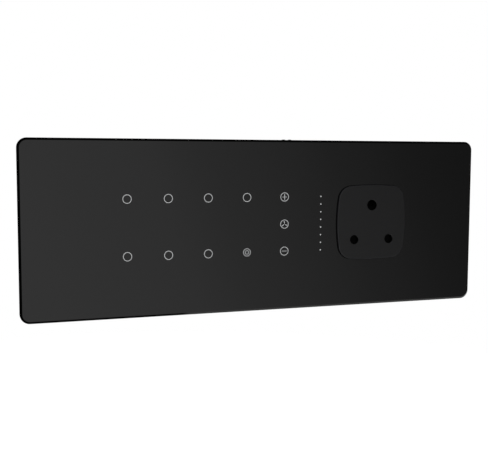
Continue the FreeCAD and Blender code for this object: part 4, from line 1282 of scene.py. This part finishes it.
@dataclass
class WallFrame:
    """Plate on the wall with its catches and the screws that hold the case."""

    shop: Workshop
    screw: Screw = Screw(Head.FLAT, Drive.CROSS, head_r=2.9, head_h=1.4, core_r=1.5, length=10.4, pitch=0.9)

    def build(self) -> None:
        """Dresses the plate and catches, and cuts the recesses of the case screws."""
        self.shop.dress("grey_plastic", "wall_frame")
        self.shop.dress("spring_steel", "catch_springs")
        self.shop.screws("case_screws_cut", "case_screws", self.screw, "base", 5,
                         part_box("wall_frame")[0].y, rear=False)


@dataclass
class PowerCase:
    """Electronics case with its board, relays, supply and solder."""

    shop: Workshop
    screw: Screw = Screw(Head.PAN, Drive.CROSS, head_r=2.4, head_h=1.6, core_r=1.25, length=9.0, pitch=0.8)
    gate_apart: float = 33.0
    gate_below: float = 24.0

    def build(self) -> None:
        """Dresses the nodes and adds screws, solder joints and gate marks."""
        shop = self.shop
        shop.dress("case_plastic", "power_case", "power_supply")
        shop.dress("circuit_board", "power_board")
        shop.dress("relay_plastic", "relays")
        shop.dress("capacitor_box", "fan_capacitors")
        shop.dress("capacitor_sleeve", "bulk_capacitor")
        shop.dress("varistor_coat", "varistor")
        shop.dress("fuse_plastic", "fuse")
        shop.dress("black_plastic", "header_socket")
        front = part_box("power_board")[0].y
        shop.screws("power_board_screws_cut", "power_board_screws", self.screw, "base", 9, front, rear=False)
        self.joints(front)
        self.marks()

    def joints(self, front: float) -> None:
        """Adds solder joints with their pin tips to the front of the power board.

        Args:
            front: depth of the board's front face.
        """
        form = bmesh.new()
        turned(form, [(0.0, 0.05), (0.95, 0.05), (0.72, -0.14), (0.5, -0.42), (0.36, -0.72), (0.3, -0.95),
                      (0.0, -1.0)], 12)
        relay_pins = ((-8.0, -6.0), (-8.0, 6.0), (0.5, 0.0), (7.5, -6.0), (7.5, 6.0))
        supply_pins = [(x, z) for x in (-10.0, -5.0, 5.0, 10.0) for z in (-8.0, 8.0)]
        # Pins of each node, X and Z from the middle of its solids
        pins = {"relays": relay_pins, "fan_capacitors": ((-7.5, 0.0), (7.5, 0.0)),
                "varistor": ((-2.5, 0.0), (2.5, 0.0)), "fuse": ((-2.54, 0.0), (2.54, 0.0)),
                "bulk_capacitor": ((-2.5, 0.0), (2.5, 0.0)), "power_supply": supply_pins}
        low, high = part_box("header_socket")
        places = []
        for node, offsets in pins.items():
            for part in solids_of(node):
                for x, z in offsets:
                    spot = Vector((part.centre.x + x * MM, front, part.centre.z + z * MM))
                    if not (low.x - MM < spot.x < high.x + MM and low.z - MM < spot.z < high.z + MM):
                        places.append(spot)
        self.shop.copies("power_board_joints", object_of("joint", form, 40.0), places, "base",
                         "tinned_steel", "solder")

    def marks(self) -> None:
        """Adds two gate marks to the rear wall of the case: a low ring round the stub of the runner."""
        low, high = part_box("power_case")
        form = bmesh.new()
        turned(form, [(0.0, -0.06), (1.9, -0.06), (2.0, 0.0), (1.9, 0.03), (1.6, 0.03), (1.5, -0.02),
                      (0.7, -0.02), (0.65, 0.03), (0.0, 0.03)], 32)
        middle, height = (low.x + high.x) / 2, high.z - self.gate_below * MM
        places = [Vector((middle + side * self.gate_apart * MM, high.y, height)) for side in (-1, 1)]
        self.shop.copies("gate_marks", object_of("gate_mark", form, 30.0), places, "base", "case_plastic")


@dataclass
class Terminals:
    """Wire terminals below the case."""

    shop: Workshop
    screw: Screw = Screw(Head.CHEESE, Drive.COMBINED, head_r=1.95, head_h=2.0, core_r=1.5, length=4.2,
                         pitch=0.5)
    ways: int = 6
    rib_half: float = 0.35
    rib_proud: float = 0.35
    rib_bevel: float = 0.1
    chamfer: float = 1.4

    def build(self) -> None:
        """Dresses strips and cages, cuts the recesses of the twelve screws and adds the ribs."""
        self.shop.dress("terminal_plastic", "terminal_blocks")
        self.shop.dress("nickel_brass", "terminal_clamps")
        self.shop.screws("terminal_screws_cut", "terminal_screws", self.screw, "base", 11, most=math.pi)
        self.ribs()

    def ribs(self) -> None:
        """Adds the ribs that part the ways on the rear and lower sides of each strip."""
        blocks = solids_of("terminal_blocks")
        size, proud, half = blocks[0].size, self.rib_proud * MM, self.rib_half * MM
        form = bmesh.new()
        bar(form, Vector((-half, proud - size.y, -proud)),
            Vector((half, proud, size.z - self.chamfer * MM)), self.rib_bevel)
        places = [Vector((b.low.x + b.size.x * i / self.ways, b.high.y, b.low.z))
                  for b in blocks for i in range(1, self.ways)]
        self.shop.copies("terminal_ribs", object_of("rib", form), places, "base", "terminal_plastic")


@dataclass
class Socket:
    """Round-pin socket: face, shutter, spring, block and brass sleeves."""

    shop: Workshop
    spring_turns: float = 8.0
    spring_wire: float = 0.22
    shutter_travel: float = 6.0
    long_screw: Screw = Screw(Head.PAN, Drive.CROSS, head_r=2.8, head_h=1.9, core_r=1.5, length=14.0,
                              pitch=1.1)
    clamp_screw: Screw = Screw(Head.CHEESE, Drive.COMBINED, head_r=2.0, head_h=1.8, core_r=1.5, length=3.6,
                               pitch=0.5)

    def build(self) -> None:
        """Dresses the nodes, winds the spring and cuts the screw recesses."""
        self.shop.dress("socket_plastic", "socket_face")
        self.shop.dress("phenolic_plastic", "contact_block")
        self.shop.dress("sleeve_brass", "line_sleeve", "neutral_sleeve", "earth_sleeve")
        self.shop.dress("shutter_plastic", "shutter")
        self.spring()
        self.shop.screws("socket_screws_cut", "socket_screws", self.long_screw, "base", 13)
        self.clamps()

    def spring(self) -> None:
        """Winds the coil spring of the shutter, up from its foot."""
        low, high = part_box("shutter_spring")
        wire = self.spring_wire * MM
        foot = Vector(((low.x + high.x) / 2, (low.y + high.y) / 2, low.z + wire))
        piece = grown("shutter_coil", self.shop.coil, [foot], {
            "Turns": self.spring_turns, "Radius": (high.x - low.x) / 2 - wire,
            "Height": high.z - low.z - 2 * wire, "Wire": wire, "Finish": self.shop.made["spring_steel"]})
        for face in piece.data.polygons:
            face.use_smooth = True
        self.shop.place(piece, "base", "spring_steel", instead_of="shutter_spring")
        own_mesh(piece)

    def clamps(self) -> None:
        """Sets the clamp screws of the sleeves: the earth's from above, the other two from below."""
        clamps = solids_of("socket_terminal_screws")
        middle = sum(e.centre.z for e in clamps) / len(clamps)
        head = self.clamp_screw.head_h * MM
        source = self.clamp_screw.shape()
        form = bmesh.new()
        for clamp in clamps:
            up = clamp.centre.z > middle
            seat = clamp.high.z - head if up else clamp.low.z + head
            turn = Matrix.Rotation(-QUARTER if up else QUARTER, 4, "X")
            start = len(form.verts)
            form.from_mesh(source.data)
            form.verts.ensure_lookup_table()
            place = Matrix.Translation((clamp.centre.x, clamp.centre.y, seat)) @ turn
            bmesh.ops.transform(form, matrix=place, verts=form.verts[start:])
        bpy.data.objects.remove(source)
        self.shop.place(object_of("sleeve_clamp_screws", form), "base", "zinc_steel",
                        instead_of="socket_terminal_screws")


# Studio

@dataclass
class Studio:
    """Pale floor, soft lamps, white surroundings and the camera of the photograph; lengths in metres."""

    focal: float = 61.65
    eye: tuple[float, float, float] = (-0.16540, -0.44870, 0.03880)
    right: tuple[float, float, float] = (0.94461, -0.32816, 0.00341)
    down: tuple[float, float, float] = (-0.02592, -0.08497, -0.99605)
    forward: tuple[float, float, float] = (0.32716, 0.94079, -0.08877)
    floor_y: float = 0.35
    floor_z: float = -0.36
    floor_half: float = 1.1
    floor_fade: float = 0.35
    floor_glow: float = 0.35
    room_light: float = 0.5
    room_lean: float = 0.35
    lamp_size: float = 1.2

    def build(self) -> None:
        """Sets up floor, world, lamps and camera."""
        self.floor()
        self.world()
        self.lamp("key_softbox", (-0.9, -1.3, 1.0), 24.0)
        self.lamp("rear_softbox", (0.9, 1.3, 0.9), 16.0)
        self.camera()
        bpy.context.scene.view_settings.view_transform = "Standard"

    def floor(self) -> None:
        """Lays the pale floor: it keeps the soft shadow and fades out, so that the glass mirrors no edge."""
        form = bmesh.new()
        bmesh.ops.create_grid(form, x_segments=2, y_segments=2, size=self.floor_half)
        made = object_of("studio_floor", form)
        made.location = (0.0, self.floor_y, self.floor_z)
        # Matt white paper: a barely uneven white that doesn't shine
        skin = bpy.data.materials.new("matt_white_paper")
        tree = emptied(skin)
        where = add_node(tree, "ShaderNodeTexCoord").outputs["Object"]
        fibre = add_node(tree, "ShaderNodeTexNoise", {"Vector": where, "Scale": per_mm(8.0), "Detail": 3.0})
        tone = add_node(tree, "ShaderNodeMix", {
            "Factor": fibre.outputs["Fac"], COLOUR_A: linear("#F4F4F3"), COLOUR_B: linear("#F1F1F0")},
            data_type="RGBA")
        paper = add_node(tree, "ShaderNodeBsdfDiffuse", {"Color": tone.outputs[COLOUR_OUT]}).outputs[0]
        glow = add_node(tree, "ShaderNodeEmission", {
            "Color": (1.0, 1.0, 1.0, 1.0), "Strength": self.floor_glow}).outputs[0]
        path = add_node(tree, "ShaderNodeLightPath")
        seen = add_node(tree, "ShaderNodeAddShader", {0: paper, 1: glow}).outputs[0]
        lit = add_node(tree, "ShaderNodeMixShader", {0: path.outputs["Is Camera Ray"], 1: paper, 2: seen})
        reach = add_node(tree, "ShaderNodeVectorMath", {0: where}, operation="LENGTH")
        inside = add_node(tree, "ShaderNodeMapRange", {
            "Value": reach.outputs["Value"], "From Min": self.floor_half,
            "From Max": self.floor_half - self.floor_fade}, interpolation_type="SMOOTHSTEP")
        clear = add_node(tree, "ShaderNodeBsdfTransparent")
        faded = add_node(tree, "ShaderNodeMixShader", {
            0: inside.outputs["Result"], 1: clear.outputs[0], 2: lit.outputs[0]})
        add_node(tree, "ShaderNodeOutputMaterial", {"Surface": faded.outputs[0]})
        made.data.materials.append(skin)

    def world(self) -> None:
        """Sets white surroundings; the room before the glass falls off to the right, as its mirror shows."""
        room = bpy.data.worlds.new("studio_room")
        tree = emptied(room)
        way = add_node(tree, "ShaderNodeTexCoord").outputs["Generated"]
        axes = add_node(tree, "ShaderNodeSeparateXYZ", {"Vector": way})
        back = add_node(tree, "ShaderNodeMath", {0: axes.outputs["Y"], 1: -1.0}, operation="MULTIPLY")
        side = add_node(tree, "ShaderNodeMath", {0: axes.outputs["X"], 1: back.outputs[0]},
                        operation="ARCTAN2")
        level = add_node(tree, "ShaderNodeClamp", {"Value": axes.outputs["Z"], "Min": -0.25, "Max": 0.1})
        leaning = add_node(tree, "ShaderNodeMath", {
            0: level.outputs[0], 1: self.room_lean, 2: side.outputs[0]}, operation="MULTIPLY_ADD")
        share = add_node(tree, "ShaderNodeMapRange", {
            "Value": leaning.outputs[0], "From Min": -math.pi, "From Max": math.pi})
        # Degrees from straight before the panel, left below zero, and how bright the room is there
        stops = [(-180, 1.0), (-140, 1.0), (-120, 0.08), (-60, 0.1), (-30, 0.45), (-6, 0.72), (3, 0.705),
                 (7.6, 0.65), (12.5, 0.6), (16.4, 0.478), (19, 0.43), (21.6, 0.372), (23.4, 0.33),
                 (25.1, 0.275), (27.3, 0.24), (29.2, 0.19), (31, 0.16), (34, 0.125), (60, 0.12), (92, 0.12),
                 (102, 1.0), (180, 1.0)]
        around = add_node(tree, "ShaderNodeValToRGB", {"Fac": share.outputs["Result"]},
                          stops=[((a + 180) / 360, v) for a, v in stops])
        above = add_node(tree, "ShaderNodeMapRange", {
            "Value": axes.outputs["Z"], "From Min": 0.3, "From Max": 0.7, "To Min": 1.0, "To Max": 0.15})
        mirrored = add_node(tree, "ShaderNodeMath", {
            0: around.outputs["Color"], 1: above.outputs["Result"]}, operation="MULTIPLY")
        path = add_node(tree, "ShaderNodeLightPath").outputs
        seen = add_node(tree, "ShaderNodeMath", {0: path["Is Camera Ray"], 1: path["Is Transmission Ray"]},
                        operation="MAXIMUM")
        unseen = add_node(tree, "ShaderNodeMix", {
            "Factor": path["Is Glossy Ray"], NUMBER_A: self.room_light, NUMBER_B: mirrored.outputs[0]})
        strength = add_node(tree, "ShaderNodeMix", {
            "Factor": seen.outputs[0], NUMBER_A: unseen.outputs[0], NUMBER_B: 1.0})
        glow = add_node(tree, "ShaderNodeBackground", {
            "Color": (1.0, 1.0, 1.0, 1.0), "Strength": strength.outputs[0]})
        add_node(tree, "ShaderNodeOutputWorld", {"Surface": glow.outputs[0]})
        bpy.context.scene.world = room

    def lamp(self, name: str, place: tuple[float, float, float], watts: float) -> None:
        """Adds a large soft lamp that looks at the panel and doesn't show in the glass.

        Args:
            name: name of the lamp.
            place: where it stands.
            watts: its power.
        """
        data = bpy.data.lights.new(name, "AREA")
        data.energy, data.size = watts, self.lamp_size
        made = linked(name, data)
        made.location = place
        made.rotation_mode = "QUATERNION"
        made.rotation_quaternion = (-Vector(place)).to_track_quat("-Z", "Y")
        made.visible_glossy = False

    def camera(self) -> None:
        """Sets the camera that was solved from the row of marks and the panel's outline."""
        data = bpy.data.cameras.new("photograph_view")
        data.lens, data.sensor_width, data.sensor_fit = self.focal, 36.0, "HORIZONTAL"
        data.clip_start, data.clip_end = 0.01, 20.0
        made = linked("photograph_view", data)
        axes = Matrix((self.right, -Vector(self.down), -Vector(self.forward))).transposed()
        made.matrix_world = Matrix.Translation(self.eye) @ axes.to_4x4()
        bpy.context.scene.camera = made


def main() -> None:
    """Builds every sub-assembly in order, and then the studio."""
    logging.basicConfig(level=logging.INFO, format="%(message)s")
    shop = Workshop()
    for part in (GlassFront, TouchElectronics, WallFrame, PowerCase, Terminals, Socket):
        log.info("building %s", part.__name__)
        part(shop).build()
    Studio().build()


if __name__ == "__main__":
    main()
